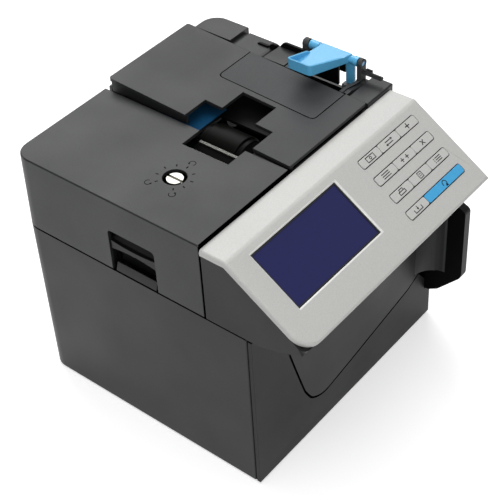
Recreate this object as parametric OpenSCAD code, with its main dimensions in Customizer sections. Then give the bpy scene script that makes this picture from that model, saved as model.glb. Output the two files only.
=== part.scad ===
// Banknote counting machine with a tilted control pod over its front,
// a hinged top cover, a hinged hopper lid and a stacker pocket on its right side.
// While the parts are drawn, X runs right from the left face, Y runs back from
// the front cover's face and Z runs up from the floor. placed() then moves all
// of them so that the origin is the middle of the bounding box's bottom.

/* [Body] */
// Width of the body
body_w = 215; // [205:1:230]
// Depth of the body from the front cover's face to the back
body_d = 207; // [200:1:225]
// Height of the seam between the base and the upper part
seam_z = 141.4; // [138:0.1:146]
// Height of the flat top
top_z = 203.6; // [200:0.1:208]
// Wall of the moulded shells
wall = 2.5; // [2:0.1:3]
// Radius of the two upright corners at the back
back_r = 14; // [8:0.5:20]
// Lean of the upper part's back face from the seam to the top
back_lean = 2; // [1:0.1:3]
// Rounding of the edge around the flat top
top_edge = 0.8; // [0.4:0.1:1.2]
// Clearance along a seam between two mouldings
seam_gap = 0.3; // [0.25:0.05:0.4]
// Height of the rubber feet
foot_h = 2; // [1.5:0.1:3]
// Radius of a foot
foot_r = 8; // [6:0.5:10]
// Thickness of the steel base plate
base_plate_t = 1.5; // [1:0.1:2]

/* [Front] */
// Thickness of the front cover and of the apron
front_t = 3.7; // [3:0.1:4.5]
// Radius of the hollow between the apron and the right cheek
cheek_fillet_r = 17; // [12:1:20]
// Thickness of the right cheek
cheek_t = 7; // [5:0.5:8]
// How far the right cheek stands in front of the front cover
cheek_reach = 31; // [26:1:34]
// Height of the lower edge of the right side's window sill
sill_z = 31.5; // [29:0.5:34]

/* [Pod] */
// Distance from the front cover's face back to the crease under the flat band
crease_y = 17.5; // [15:0.5:20]
// Depth of the pod's flat band, from the crease to the top cover's seam
band_d = 20.8; // [18:0.1:22]
// Height of the flat band
band_z = 200.5; // [198:0.1:202]
// Slope of the control panel's face
panel_slope = 33.2; // [32:0.1:35]
// Length of the sloping face
panel_len = 75.5; // [74:0.5:77]
// Distance from the control panel's right edge to the right face
panel_inset = 4; // [3:0.5:6]
// Thickness of the control panel
panel_t = 4.5; // [4:0.1:5]
// Radius of the panel's lower left corner
panel_corner_r = 15; // [10:1:18]
// Radius of the chin's underside
chin_r = 112; // [100:1:140]

/* [Display and keys] */
// Width of the display window
lcd_w = 89; // [84:1:92]
// Height of the display window
lcd_h = 45; // [42:1:48]
// Distance from the left face to the display window
lcd_x = 18.8; // [17:0.1:21]
// Distance from the crease to the display window
lcd_s = 6.6; // [5:0.1:8]
// Chamfer around the display window
lcd_chamfer = 1.1; // [0.6:0.1:1.4]
// Thickness of the display glass
glass_t = 1.4; // [1:0.1:1.6]
// Distance from the key field to the panel's right edge
keys_inset = 12.35; // [11:0.05:14]
// Distance from the crease to the key field
keys_s = 7; // [6:0.5:8]
// Distance from one key to the next in a row
key_pitch_x = 22; // [21:0.1:22.4]
// Distance from one row of keys to the next
key_pitch_s = 15.5; // [14:0.1:16]
// Height of a key
key_h = 6.6; // [6:0.1:7.5]
// Gap around a key
key_gap = 0.35; // [0.3:0.05:0.5]
// Travel of a key
key_travel = 0.7; // [0.5:0.1:0.9]

/* [Top cover] */
// Distance from the left face to the cover's right edge
cover_edge_x = 92.9; // [91:0.1:94]
// Distance from the left face to the cover's hinge
cover_hinge_x = 90.5; // [89.5:0.1:91]
// Radius of the cover's hinge pins
cover_pin_r = 1.5; // [1.2:0.1:1.6]
// Distance from the left face to the adjusting screw
dial_x = 44; // [42:0.5:46]
// Distance from the front face to the adjusting screw
dial_y = 95.7; // [94:0.1:98]
// Radius of the hole around the adjusting screw
dial_hole_r = 8.5; // [8:0.1:9]
// Radius of the adjusting screw's head
dial_head_r = 6; // [5:0.5:6.5]
// Radius of the adjusting screw's shank
dial_shank_r = 4; // [3:0.5:4]

/* [Hopper lid] */
// Distance from the left face to the lid's left edge
lid_x = 95.4; // [95.2:0.1:96.5]
// Distance from the lid's right edge to the right face
lid_inset = 32.5; // [31:0.5:35]
// Rise of the lid towards the back
lid_rise = 2.75; // [2:0.05:3]
// Thickness of the lid
lid_t = 2.6; // [2.4:0.1:3]
// Distance from the lid's hinge to the right face
hinge_inset = 7; // [6.5:0.1:7.5]
// Height of the lid's hinge
lid_hinge_z = 197.5; // [197:0.1:198]
// Radius of the lid's hinge pins
lid_pin_r = 2; // [1.5:0.1:2.1]
// Distance from the left face to the flap's left edge
flap_x = 145.2; // [143:0.1:148]
// Distance from the front face to the flap's front edge
flap_y = 57.3; // [57:0.1:60]
// Length of the flap along the lid's hinge
flap_len = 84.5; // [82:0.5:88]

/* [Blue lever] */
// Height of the lever's pivot
lever_z = 215.5; // [214.5:0.1:216.5]
// Length of the tray from the pivot to its tip
tray_len = 41; // [38:0.5:43]
// Width of the tray at its tip
tray_w = 20.5; // [19:0.5:22]
// Height of the tray's wall at its tip
tray_rim = 8; // [6.5:0.5:8.5]
// Upward slope of the wall's lower edge
tray_slope = 11.3; // [10:0.1:12.5]
// Upward slope of the tray's floor
tray_floor_slope = 5; // [4:0.1:6]

/* [Note path] */
// Radius of the feed drum
drum_r = 18; // [17:0.1:18.5]
// Width of the feed drum's rubber
drum_w = 28.7; // [26:0.1:30]
// Radius of the shafts
shaft_r = 4; // [3.5:0.1:4]
// Radius of the pickup rollers
pickup_r = 13; // [12.5:0.1:13.4]
// Radius of the stacker wheels over their fingers
stacker_r = 36; // [34:0.5:38]
// Number of fingers on a stacker wheel
finger_count = 10; // [6:1:12]
// Radius of the retard roller
retard_r = 8; // [7:0.1:8.2]
// Thickness of the side plates
plate_t = 2; // [1.5:0.1:2.2]
// Radial clearance of a shaft in its bush
run_gap = 0.05; // [0.03:0.01:0.08]
// Thickness of a belt
belt_t = 1.5; // [1.2:0.1:1.6]
// Radius of the feed shaft's pulleys
feed_pulley_r = 7.5; // [7:0.1:7.6]
// Radius of the pickup shaft's pulley
pickup_pulley_r = 7.5; // [7:0.1:8]
// Radius of the stacker shaft's pulley
stacker_pulley_r = 15; // [12:0.5:18]
// Radius of the motor's pulley
motor_pulley_r = 6; // [5:0.5:8]

/* [Hidden] */
$fn = 48;
eps = 0.01;

// Front of the upper part, just behind the pod
upper_y = crease_y + band_d + seam_gap;
pod_front_y = crease_y - panel_len * cos(panel_slope);
panel_foot_z = band_z - panel_len * sin(panel_slope);
panel_w = body_w - panel_inset;
cheek_x = body_w - cheek_t;
lid_edge_x = body_w - lid_inset;
lid_hinge_x = body_w - hinge_inset;

// Side plates carry every shaft
plate_y = [43.5, body_d - 23];
plate_top_z = 191;
plate_foot_z = foot_h + base_plate_t;
rear_face_y = plate_y[1] + plate_t;

// Shaft centres, as [x, z]
feed_c = [105, 182];
pickup_c = [lid_edge_x - 32.5, 181];
stacker_c = [pickup_c.x - 14, 116];
motor_c = [60, 60];
retard_c = [82.9, 166.5];
cover_hinge_c = [cover_hinge_x, top_z - wall - 3];
lid_hinge_c = [lid_hinge_x, lid_hinge_z];
lever_c = [lid_hinge_x + 0.5, lever_z];

drum_y = 100.6;
bush_r = shaft_r + 2;
bush_w = plate_t + 3;

// Pulleys sit behind the rear plate, one belt track after another
track_w = 4;
track_pitch = 5;
track_y = rear_face_y + 2.2;
function track(n) = track_y + n * track_pitch;

// Rows of keys
key_row_w = 3 * key_pitch_x - key_gap;
keys_x = panel_w - keys_inset - key_row_w;
key_corner_r = 1.4;

// ---------- shared shapes ----------

function unit(v) = v / norm(v);

// Arc of radius r that turns a corner at p between the directions a and b
function corner_arc(p, a, b, r, steps) =
    let (half = acos(a * b) / 2,
         c = p + unit(a + b) * r / sin(half),
         s = p + a * r / tan(half) - c,
         e = p + b * r / tan(half) - c)
    arc_about(c, s, e, steps);

function arc_about(c, s, e, steps) =
    let (start = atan2(s.y, s.x),
         turn = atan2(s.x * e.y - s.y * e.x, s * e))
    [for (k = [0:steps]) c + norm(s) * [cos(start + turn * k / steps), sin(start + turn * k / steps)]];

// Outline whose corners are turned at the given radii
function rounded(pts, radii, steps = 5) =
    let (n = len(pts))
    [for (i = [0:n - 1])
        let (p = pts[i],
             a = unit(pts[(i + n - 1) % n] - p),
             b = unit(pts[(i + 1) % n] - p))
        each radii[i] == 0 ? [p] : corner_arc(p, a, b, radii[i], steps)];

// Arc of radius r from p to q that bulges to the right of the way from p to q
function arc_between(p, q, r, steps = 8) =
    let (half = norm(q - p) / 2,
         n = unit([p.y - q.y, q.x - p.x]),
         c = (p + q) / 2 + n * sqrt(r * r - half * half))
    arc_about(c, p - c, q - c, steps);

module along_x(x0, x1)
    translate([x0, 0, 0]) rotate([90, 0, 90]) linear_extrude(x1 - x0) children();

module along_y(y0, y1)
    translate([0, y1, 0]) rotate([90, 0, 0]) linear_extrude(y1 - y0) children();

// Round bar along Y about c = [x, z]
module bar_y(c, r, y0, y1)
    translate([c.x, y1, c.y]) rotate([90, 0, 0]) cylinder(r = r, h = y1 - y0);

module block(lo, hi)
    translate(lo) cube(hi - lo);

// Rectangle from lo to hi with its own radius at each corner: front left,
// front right, back right, back left
module corner_plan(lo, hi, radii, steps = 8)
    polygon(rounded([lo, [hi.x, lo.y], hi, [lo.x, hi.y]], radii, steps));

// Children drawn on the panel's slope: x from the left face, y up the slope
// from the crease, z out of the face
module on_panel()
    translate([0, crease_y, band_z]) rotate([panel_slope, 0, 0]) children();

// Children drawn on the lid's plane, z from its upper face
lid_ref_y = 43;
lid_ref_z = top_z + 1.3;
module on_lid()
    translate([0, lid_ref_y, lid_ref_z]) rotate([lid_rise, 0, 0]) translate([0, -lid_ref_y, 0]) children();

function lid_top(y) = lid_ref_z + (y - lid_ref_y) * tan(lid_rise);

module placed()
    translate([-body_w / 2, -(body_d + pod_front_y) / 2, 0]) children();

// ---------- base ----------

module base_plan(inset)
    corner_plan([inset, front_t + seam_gap], [body_w - inset, body_d - inset],
                [1, 1, back_r - inset, back_r - inset]);

inlet_x = 34;
inlet_z = 30;
inlet_size = [28, 21];
switch_x = 66;
switch_size = [13, 20];

// Wall below the cheek on the right, and a whole wall at the left and back
module base_shell() {
    color("#484846") difference() {
        translate([0, 0, foot_h]) linear_extrude(seam_z - foot_h) base_plan(0);
        translate([0, 0, foot_h - eps]) linear_extrude(seam_z) base_plan(wall);
        block([wall, 0, foot_h - eps], [body_w - wall, front_t + 5, seam_z + 1]);
        // Room for the right cheek and the stacker pocket behind it
        block([cheek_x - seam_gap, 0, sill_z - seam_gap], [body_w + 1, body_d + 1, seam_z + 1]);
        block([inlet_x - inlet_size.x / 2 - seam_gap, body_d - wall - 1,
               inlet_z - inlet_size.y / 2 - seam_gap],
              [inlet_x + inlet_size.x / 2 + seam_gap, body_d + 1, inlet_z + inlet_size.y / 2 + seam_gap]);
        block([switch_x - switch_size.x / 2 - seam_gap, body_d - wall - 1,
               inlet_z - switch_size.y / 2 - seam_gap],
              [switch_x + switch_size.x / 2 + seam_gap, body_d + 1,
               inlet_z + switch_size.y / 2 + seam_gap]);
        back_vents();
        for (p = screw_places) translate([p.x, body_d - screw_t - 0.1, p.y]) rotate([-90, 0, 0])
            cylinder(r = screw_r + 0.1, h = 5);
    }
    color("#484846") finger_ramp();
    color("#484846") latch_keeper();
}

vent_pitch = 7;
vent_count = 9;
module back_vents()
    for (k = [0:vent_count - 1])
        block([100 + k * vent_pitch, body_d - wall - 1, 60], [103 + k * vent_pitch, body_d + 1, 96]);

// Ramp that guides a finger up behind the latch bar
ramp_t = 3.2;
ramp_h = 7;
module finger_ramp()
    along_y(81, 117)
        polygon([[0.2, seam_z - 3], [0.2, seam_z], [ramp_t - 0.8, seam_z + ramp_h],
                 [ramp_t, seam_z + ramp_h],
                 [ramp_t, seam_z - 3]]);

// Bar that the latch hooks snap under, between two brackets on the left wall
keeper_x = 11.2;
module latch_keeper() {
    ends = [recess_y[0] - 6, recess_y[1] + 6];
    block([keeper_x, ends[0], seam_z - 2.8], [keeper_x + 2.2, ends[1], seam_z - 0.2]);
    for (y = [ends[0], ends[1] - 2])
        block([wall - 0.5, y, seam_z - 5.4], [keeper_x + 2.2, y + 2, seam_z - 0.2]);
}

module base_plate()
    color("#8b8d8f") translate([0, 0, foot_h]) difference() {
        linear_extrude(base_plate_t)
            corner_plan([wall + 0.2, front_t + seam_gap + 1], [body_w - wall - 0.2, body_d - wall - 0.2],
                        [1, 1, back_r - wall, back_r - wall]);
        for (p = foot_places()) translate([p.x, p.y, -1]) cylinder(r = 1.6, h = base_plate_t + 2);
    }

foot_inset = 20;
function foot_places() = [for (x = [foot_inset, body_w - foot_inset],
                               y = [foot_inset, body_d - foot_inset]) [x, y]];

module rubber_feet()
    color("#1b1b1b") for (p = foot_places())
        translate([p.x, p.y, 0]) union() {
            cylinder(r1 = foot_r - 0.6, r2 = foot_r, h = 0.8);
            translate([0, 0, 0.8]) cylinder(r = foot_r, h = foot_h - 0.8);
            cylinder(r = 1.5, h = foot_h + base_plate_t);
        }

// Seam line of the apron on the front face, moved down and left by g
function apron_line(g) = [for (p = [
    [32, seam_z + 2], [38.4, 98.5], [45.3, 76], [53.9, 48.9], [61.4, 35.3], [75.1, 28.2],
    [108.1, 33.8], [146.6, 41], [cheek_x - 24.6, 47.8], [cheek_x - 9.3, 54.1]]) p + [-g, -g]];
apron_radii = [0, 40, 90, 30, 18, 20, 0, 0, 40, 0];
corner_z = 42.2;

module front_cover()
    color("#424242") difference() {
        block([0, 0, foot_h], [body_w, front_t, seam_z - seam_gap]);
        // The apron's place, then the slanted corner at the right
        along_y(-1, front_t + 1)
            polygon(concat(rounded(apron_line(seam_gap), apron_radii),
                           [[cheek_x - seam_gap, corner_z], [cheek_x - seam_gap, sill_z - seam_gap],
                            [body_w + 1, sill_z - seam_gap], [body_w + 1, seam_z + 2]]));
    }

// ---------- right side ----------

finger_window_y = [45, 125];
finger_window_z = 76;

// Cheek that stands in front of the right side, as [y, z] from its foot to its
// head
cheek_foot = [[-cheek_reach, 58], [-11.2, 36.4], [-3, sill_z]];
cheek_head = [[24, seam_z - seam_gap], [-24.6, seam_z - 17.1], [-cheek_reach, seam_z - 19.8]];

module stacker_wall()
    color("#2f2f30") difference() {
        along_x(cheek_x, body_w)
            polygon(rounded(
                concat(cheek_foot, [[body_d - back_lean, sill_z], [body_d - back_lean, seam_z - seam_gap]],
                       cheek_head),
                [9, 12, 6, 1, 1, 8, 6, 4]));
        // Rounded back corner, as on the base
        translate([body_w - back_r, body_d - back_r, 0]) difference() {
            cube([back_r + 1, back_r + 1, seam_z]);
            translate([0, 0, -1]) cylinder(r = back_r, h = seam_z + 2);
        }
        // Window through which the fingers take the notes
        along_x(cheek_x - 1, body_w + 1)
            polygon(rounded([[finger_window_y[0], seam_z + 9], [finger_window_y[0], finger_window_z],
                             [finger_window_y[1], finger_window_z], [finger_window_y[1], seam_z + 9]],
                            [0, 18, 18, 0]));
    }

chute_back_x = pickup_c.x + 15;
chute_low_z = 42;
chute_knee_z = 98;
chute_y = [10, body_d - 10];
chute_t = 2;
wheel_ys = [78, 148];
wheel_w = 8;

module stacker_chute()
    color("#3a3a3c") difference() {
        union() {
            along_y(chute_y[0], chute_y[1])
                polygon([[cheek_x - 0.2, chute_low_z], [chute_back_x, chute_knee_z],
                         [chute_back_x, seam_z - seam_gap], [chute_back_x - chute_t, seam_z - seam_gap],
                         [chute_back_x - chute_t, chute_knee_z - 1],
                         [cheek_x - 3, chute_low_z - 2], [cheek_x - 0.2, chute_low_z - 2]]);
            for (y = [chute_y[0] - chute_t, chute_y[1]])
                along_y(y, y + chute_t)
                    polygon([[cheek_x - 0.2, chute_low_z - 2], [cheek_x - 3, chute_low_z - 2],
                             [chute_back_x - chute_t, chute_knee_z - 1],
                             [chute_back_x - chute_t, seam_z - seam_gap],
                             [cheek_x - 0.2, seam_z - seam_gap]]);
        }
        // Slots for the stacker wheels
        for (y = wheel_ys)
            block([stacker_c.x, y - wheel_w / 2 - 3, 76],
                  [stacker_c.x + stacker_r + 4, y + wheel_w / 2 + 3, seam_z + 1]);
    }

// ---------- pod ----------

// Profile of the pod below the panel, as [y, z]
function under_panel(depth) =
    let (n = [sin(panel_slope), -cos(panel_slope)],
         lift = tan(panel_slope / 2) * depth)
    [[crease_y + lift, band_z - depth], [pod_front_y, panel_foot_z] + n * depth];

module pod_profile(inset) {
    roof = under_panel(panel_t - (inset > 0 ? 1 : 0));
    back_y = upper_y - seam_gap - inset;
    floor_z = seam_z + inset;
    lip = roof[1] + (1 + 1.5 * inset) * [cos(panel_slope), sin(panel_slope)];
    polygon(concat(
        [[back_y, floor_z], [back_y, roof[0].y], roof[0], lip],
        arc_between(under_panel(panel_t)[1] + [2.5 + inset, inset - 1.6], [0.5, floor_z], chin_r, 10)));
}

module pod_shell()
    color("#303031") union() {
        difference() {
            along_x(0, panel_w) pod_profile(0);
            along_x(wall, panel_w - wall) pod_profile(wall);
        }
        // Apron over the front face, inside the seam line
        along_y(0, front_t)
            polygon(concat(rounded(apron_line(0), apron_radii),
                           [[cheek_x, 58], [cheek_x, seam_z + 1], [38, seam_z + 1]]));
        cheek_hollow();
    }

// Hollow corner between the apron and the cheek
module cheek_hollow()
    translate([cheek_x - seam_gap, 0, 56]) difference() {
        translate([-cheek_fillet_r, -cheek_fillet_r, 0])
            cube([cheek_fillet_r, cheek_fillet_r + front_t, seam_z + 3 - 56]);
        translate([-cheek_fillet_r, -cheek_fillet_r, -1]) cylinder(r = cheek_fillet_r, h = seam_z);
    }

// Slab of the panel, longer than its outline at the foot
module panel_slab(over) {
    roof = under_panel(panel_t);
    up_slope = [cos(panel_slope), sin(panel_slope)];
    along_x(-over, panel_w + over)
        polygon([[upper_y - seam_gap, band_z - panel_t], [upper_y - seam_gap, band_z], [crease_y, band_z],
                 [pod_front_y, panel_foot_z] - over * up_slope, roof[1] - over * up_slope, roof[0]]);
}

// Thin plate over the display window, larger by over on each side, at height z
module lcd_plate(over, z)
    translate([lcd_x - over, -lcd_s - lcd_h - over, z]) cube([lcd_w + 2 * over, lcd_h + 2 * over, eps]);

module control_panel()
    color("#c8c8c5") difference() {
        intersection() {
            panel_slab(2);
            on_panel() translate([0, -panel_len, -panel_len]) linear_extrude(2 * panel_len)
                corner_plan([0, 0], [panel_w, 2 * panel_len], [panel_corner_r, 1, 0, 0], 12);
        }
        on_panel() {
            translate([lcd_x, -lcd_s - lcd_h, -panel_t - 1]) cube([lcd_w, lcd_h, panel_t + 2]);
            hull() {
                lcd_plate(0, -lcd_chamfer);
                lcd_plate(lcd_chamfer, 0);
                lcd_plate(lcd_chamfer, 1);
            }
            translate([lcd_x - 2, -lcd_s - lcd_h - 2, -panel_t - 1])
                cube([lcd_w + 4, lcd_h + 4, panel_t + 1 - 2]);
            for (row = [0:3]) translate([0, 0, -panel_t - 1]) linear_extrude(panel_t + 2) key_slot(row);
        }
    }

module display_glass()
    color("#24275a") on_panel()
        translate([lcd_x - 1.7, -lcd_s - lcd_h - 1.7, -2.1 - glass_t])
            cube([lcd_w + 3.4, lcd_h + 3.4, glass_t]);

module display_module()
    color("#1f5a3a") on_panel() {
        translate([lcd_x - 4, -lcd_s - lcd_h - 3, -panel_t - 1.8]) cube([lcd_w + 8, lcd_h + 6, 1.6]);
        translate([lcd_x, -lcd_s - lcd_h, -panel_t - 0.3])
            cube([lcd_w, lcd_h, panel_t + 0.3 - 2.1 - glass_t]);
        translate([lcd_x + 6, -lcd_s - lcd_h + 6, -panel_t - 5]) cube([lcd_w - 12, lcd_h - 12, 3.3]);
    }

key_stem_foot = -panel_t - 1.1;
board_top = key_stem_foot - key_travel - 0.25;
module key_board()
    color("#1f5a3a") on_panel()
        translate([keys_x - 5, -keys_s - 3 * key_pitch_s - key_h - 3, board_top - 1.6])
            cube([key_row_w + 8, 3 * key_pitch_s + key_h + 6, 1.6]);

// Keys as [column, row, columns wide]
KEYS = [[0, 0, 1], [1, 0, 1], [2, 0, 1], [0, 1, 1], [1, 1, 1], [2, 1, 1],
        [0, 2, 1], [1, 2, 1], [2, 2, 1], [0, 3, 1], [1, 3, 2]];

module key_plan(k) {
    lo = [keys_x + k[0] * key_pitch_x, -keys_s - k[1] * key_pitch_s - key_h];
    corner_plan(lo, lo + [k[2] * key_pitch_x - key_gap, key_h], [1, 1, 1, 1] * key_corner_r, 4);
}

// Slot in the panel for one row of keys
module key_slot(row) {
    lo = [keys_x, -keys_s - row * key_pitch_s - key_h];
    gap = [key_gap, key_gap];
    corner_plan(lo - gap, lo + [key_row_w, key_h] + gap, [1, 1, 1, 1] * (key_corner_r + key_gap), 4);
}

module key(k, tint)
    color(tint) on_panel() {
        translate([0, 0, -panel_t - 0.4]) linear_extrude(panel_t + 0.8) key_plan(k);
        translate([keys_x + (k[0] + k[2] / 2) * key_pitch_x - 0.5, -keys_s - k[1] * key_pitch_s - key_h / 2,
                   key_stem_foot])
            cylinder(r = 2, h = 1.2);
    }

module key_currency() key(KEYS[0], "#c2c2bf");
module key_mode() key(KEYS[1], "#c2c2bf");
module key_add() key(KEYS[2], "#c2c2bf");
module key_batch() key(KEYS[3], "#c2c2bf");
module key_ten() key(KEYS[4], "#c2c2bf");
module key_clear() key(KEYS[5], "#c2c2bf");
module key_print() key(KEYS[6], "#c2c2bf");
module key_report() key(KEYS[7], "#c2c2bf");
module key_menu() key(KEYS[8], "#c2c2bf");
module key_value() key(KEYS[9], "#c2c2bf");
module key_reset() key(KEYS[10], "#4aa5d6");

// ---------- upper shell ----------

// Tapered box with a rounded upper edge
module upper_form(inset) {
    rise = top_z - seam_z;
    lean = back_lean;
    hull() {
        translate([0, 0, seam_z + seam_gap - inset])
            linear_extrude(eps) upper_plan(inset, 0);
        translate([0, 0, top_z - top_edge - inset]) linear_extrude(eps) upper_plan(inset, lean);
        translate([0, 0, top_z - inset - eps]) linear_extrude(eps)
            upper_plan(inset + (inset > 0 ? 0 : top_edge), lean);
    }
}

module upper_plan(inset, lean)
    corner_plan([inset, upper_y + inset], [body_w - inset, body_d - inset - lean],
                [1, 1, back_r - inset, back_r - inset]);

module upper_shell() {
    difference() {
        upper_form(0);
        upper_form(wall);
    }
}

cover_split_x = cover_hinge_x - 0.2;
notch = [[74.3, 75.4], [94, 115.6]];
recess_y = [78.8, 120];
recess_z = 177;
pocket_d = 13;
boss_ys = [[46, 52], [plate_y[1] - 8, plate_y[1] - 1]];

module top_cover()
    color("#5f6062") difference() {
        union() {
            difference() {
                upper_shell();
                block([cover_split_x, 0, seam_z - 1], [body_w + 1, body_d + 1, top_z - wall - eps]);
                block([cover_edge_x, 0, seam_z - 1], [body_w + 1, body_d + 1, top_z + 1]);
            }
            for (b = boss_ys) cover_boss(b);
            // Pocket behind the latch bar
            block([1, recess_y[0] - 5, seam_z + seam_gap], [pocket_d, recess_y[1] + 5, recess_z + 2]);
        }
        block([notch[0].x, notch[0].y, top_z - wall - 1], [notch[1].x, notch[1].y, top_z + 1]);
        translate([dial_x, dial_y, top_z - wall - 1]) cylinder(r = dial_hole_r, h = wall + 2);
        along_x(-1, wall + 1)
            polygon(rounded([[recess_y[0], seam_z - 1], [recess_y[1], seam_z - 1], [recess_y[1], recess_z],
                             [recess_y[0], recess_z]], [0, 0, 3, 3]));
        block([wall, recess_y[0] - 3.4, seam_z - 1], [pocket_d - 2, recess_y[1] + 3.4, recess_z]);
        for (b = boss_ys) bar_y(cover_hinge_c, cover_pin_r + run_gap, b[0] - 1, b[1] + 1);
        bar_y(latch_c, latch_pin_r, recess_y[0] - 4.8, recess_y[1] + 4.8);
    }

module cover_boss(ys)
    union() {
        bar_y(cover_hinge_c, 2.7, ys[0], ys[1]);
        block([cover_hinge_c.x - 2.7, ys[0], cover_hinge_c.y],
              [cover_hinge_c.x + 2.4, ys[1], top_z - wall / 2]);
    }

module cover_hinge_pins()
    color("#b8b8b8") for (ys = [[plate_y[0], boss_ys[0][1] + 1], [boss_ys[1][0] - 1, plate_y[1] + plate_t]])
        bar_y(cover_hinge_c, cover_pin_r, ys[0], ys[1]);

latch_c = [8.5, 172];
latch_pin_r = 1.25;
latch_bar_z = [161.6, 169.7];
hook_z = 136.6;

module latch_pin()
    color("#b8b8b8") bar_y(latch_c, latch_pin_r, recess_y[0] - 4.7, recess_y[1] + 4.7);

module cover_latch()
    color("#333335") difference() {
        union() {
            // Grip bar, bowed along its length
            intersection() {
                along_x(1, 5) polygon(concat(
                    arc_between([recess_y[0] + 1, latch_bar_z[1] - 2],
                                [recess_y[1] - 1, latch_bar_z[1] - 2], 130),
                    arc_between([recess_y[1] - 1, latch_bar_z[0] - 1],
                                [recess_y[0] + 1, latch_bar_z[0] - 1], 100)));
                block([0, recess_y[0] + 0.4, recess_z - 27], [9, recess_y[1] - 0.4, recess_z - 1]);
            }
            // Web from the grip bar to the tube round the pin
            along_y(recess_y[0] + 0.4, recess_y[1] - 0.4)
                polygon([[3.4, 164], [3.4, 167.5], [latch_c.x - 1, latch_c.y + 2],
                         [latch_c.x + 1, latch_c.y - 2]]);
            bar_y(latch_c, 2.4, recess_y[0] - 3, recess_y[1] + 3);
            // Hooks at both ends, behind the cover's wall
            for (y = [recess_y[0] - 3, recess_y[1] + 0.4])
                along_y(y, y + 2.6)
                    polygon([[latch_c.x - 1.4, latch_c.y + 1.6], [latch_c.x + 1.4, latch_c.y + 1.6],
                             [latch_c.x + 1.7, hook_z + 1.8], [keeper_x + 0.3, hook_z + 1.2],
                             [keeper_x + 0.1, hook_z], [latch_c.x - 0.1, hook_z]]);
        }
        bar_y(latch_c, latch_pin_r + run_gap, recess_y[0] - 4, recess_y[1] + 4);
    }

// ---------- upper right frame ----------

block_x = lid_edge_x + 1.5;
front_block_y = 55;
back_block = [lid_edge_x + 10.1, body_d - 37];
lever_bay_y = [front_block_y, back_block.y];
bay_wall_z = 184;
ledge = [lid_hinge_x - 22, lid_hinge_x + 3.5];
ledge_y = [back_block.y - 35, back_block.y - 4];
ledge_z = 201.5;

module top_frame()
    color("#5f6062") difference() {
        union() {
            difference() {
                upper_shell();
                block([-1, 0, seam_z - 1], [cover_split_x + 0.5, body_d + 1, top_z + 1]);
                // Hopper well and its front and back rims
                block([cover_split_x, 0, top_z - wall - 2],
                      [block_x, body_d - wall - back_lean, top_z + 1]);
                block([cover_split_x - 1, 0, 194.5], [cover_edge_x + 4.6, body_d + 1, top_z + 1]);
                block([block_x, lever_bay_y[0], top_z - wall - 2], [body_w + 1, lever_bay_y[1], top_z + 1]);
                block([block_x - 1, lever_bay_y[0], top_z - wall - 2],
                      [back_block.x, body_d - wall - back_lean, top_z + 1]);
                block([body_w - 6, lever_bay_y[0], bay_wall_z], [body_w + 1, lever_bay_y[1], top_z + 1]);
            }
            // Walls of the front and back blocks
            block([block_x, upper_y + 1, 186], [block_x + wall, front_block_y, top_z - 1]);
            block([block_x, front_block_y - wall, 186], [body_w - 1, front_block_y, top_z - 1]);
            block([back_block.x, back_block.y, 186], [back_block.x + wall, body_d - wall - 2, top_z - 1]);
            block([back_block.x, back_block.y, 186], [body_w - 1, back_block.y + wall, top_z - 1]);
            ledge_form();
            // Boss for the front hinge pin
            bar_y(lid_hinge_c, lid_pin_r + 2, front_block_y - 10, front_block_y - 1);
        }
        bar_y(lid_hinge_c, lid_pin_r, front_block_y - 9, front_block_y + 1);
        bar_y(lid_hinge_c, lid_pin_r, ledge_y[0] - 1, ledge_y[0] + 15);
    }

// Ledge behind the lever, rounded down at its front end, carried by a rail
// along the right wall
module ledge_form()
    union() {
        along_x(ledge[0], ledge[1])
            polygon(rounded([[ledge_y[0], 189], [back_block.y + 1, 189], [back_block.y + 1, ledge_z - 1],
                             [ledge_y[1], ledge_z - 1],
                             [ledge_y[1], ledge_z], [ledge_y[0], ledge_z]], [2, 0, 0, 0, 0, 6]));
        block([ledge[1] - 1, ledge_y[0] + 4, bay_wall_z - 4], [body_w - 1, back_block.y + 1, bay_wall_z]);
        block([ledge[1] - 6, ledge_y[0] + 4, bay_wall_z - 4], [ledge[1], back_block.y + 1, 190]);
    }

floor_x = [97, lid_edge_x - 1];
floor_y = [upper_y + wall + 0.3, body_d - wall - 6];
floor_z = plate_top_z + 0.3;
floor_t = 2.2;
drum_slot_y = [78, 123];
roller_gap = 1.5;

module hopper_floor()
    color("#232325") difference() {
        block([floor_x[0], floor_y[0], floor_z], [floor_x[1], floor_y[1], floor_z + floor_t]);
        block([floor_x[0] - 1, drum_slot_y[0], floor_z - 1],
              [feed_c.x + drum_r + 2, drum_slot_y[1], floor_z + floor_t + 1]);
        for (y = pickup_ys)
            block([pickup_c.x - pickup_r - 1, y - roller_gap, floor_z - 1],
                  [pickup_c.x + pickup_r + 1, y + pickup_w + roller_gap, floor_z + floor_t + 1]);
    }

// Guide on the hopper floor, behind the drum's slot
guide_x = [98, 133];
guide_y = [drum_slot_y[1] + 2, drum_slot_y[1] + 40];

module note_guide()
    color("#1c3a5c") along_x(guide_x[0], guide_x[1]) translate([0, floor_z + floor_t])
        polygon([[guide_y[0], 0], [guide_y[1], 0], [guide_y[1], 1.5], [guide_y[0], 0.6]]);

strip_y = [77, 114.5];
nip_z = 194.5;
nip_x = [50, 91.5];
nip_t = 1.6;
module nip_plate()
    color("#202022") union() {
        block([nip_x[0], strip_y[0], nip_z], [nip_x[1], strip_y[1], nip_z + nip_t]);
        block([nip_x[0], strip_y[0], bridge_z + bridge_t], [nip_x[0] + 2, strip_y[1], nip_z + nip_t]);
    }

module guide_strips()
    color("#c9c9c6") for (x = [nip_x[1] - 13.5, nip_x[1] - 2.7])
        block([x, strip_y[0] + 1, nip_z + nip_t], [x + 2.4, strip_y[1] - 1, nip_z + nip_t + 1.4]);

// ---------- hopper lid, flap and lever ----------

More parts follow.
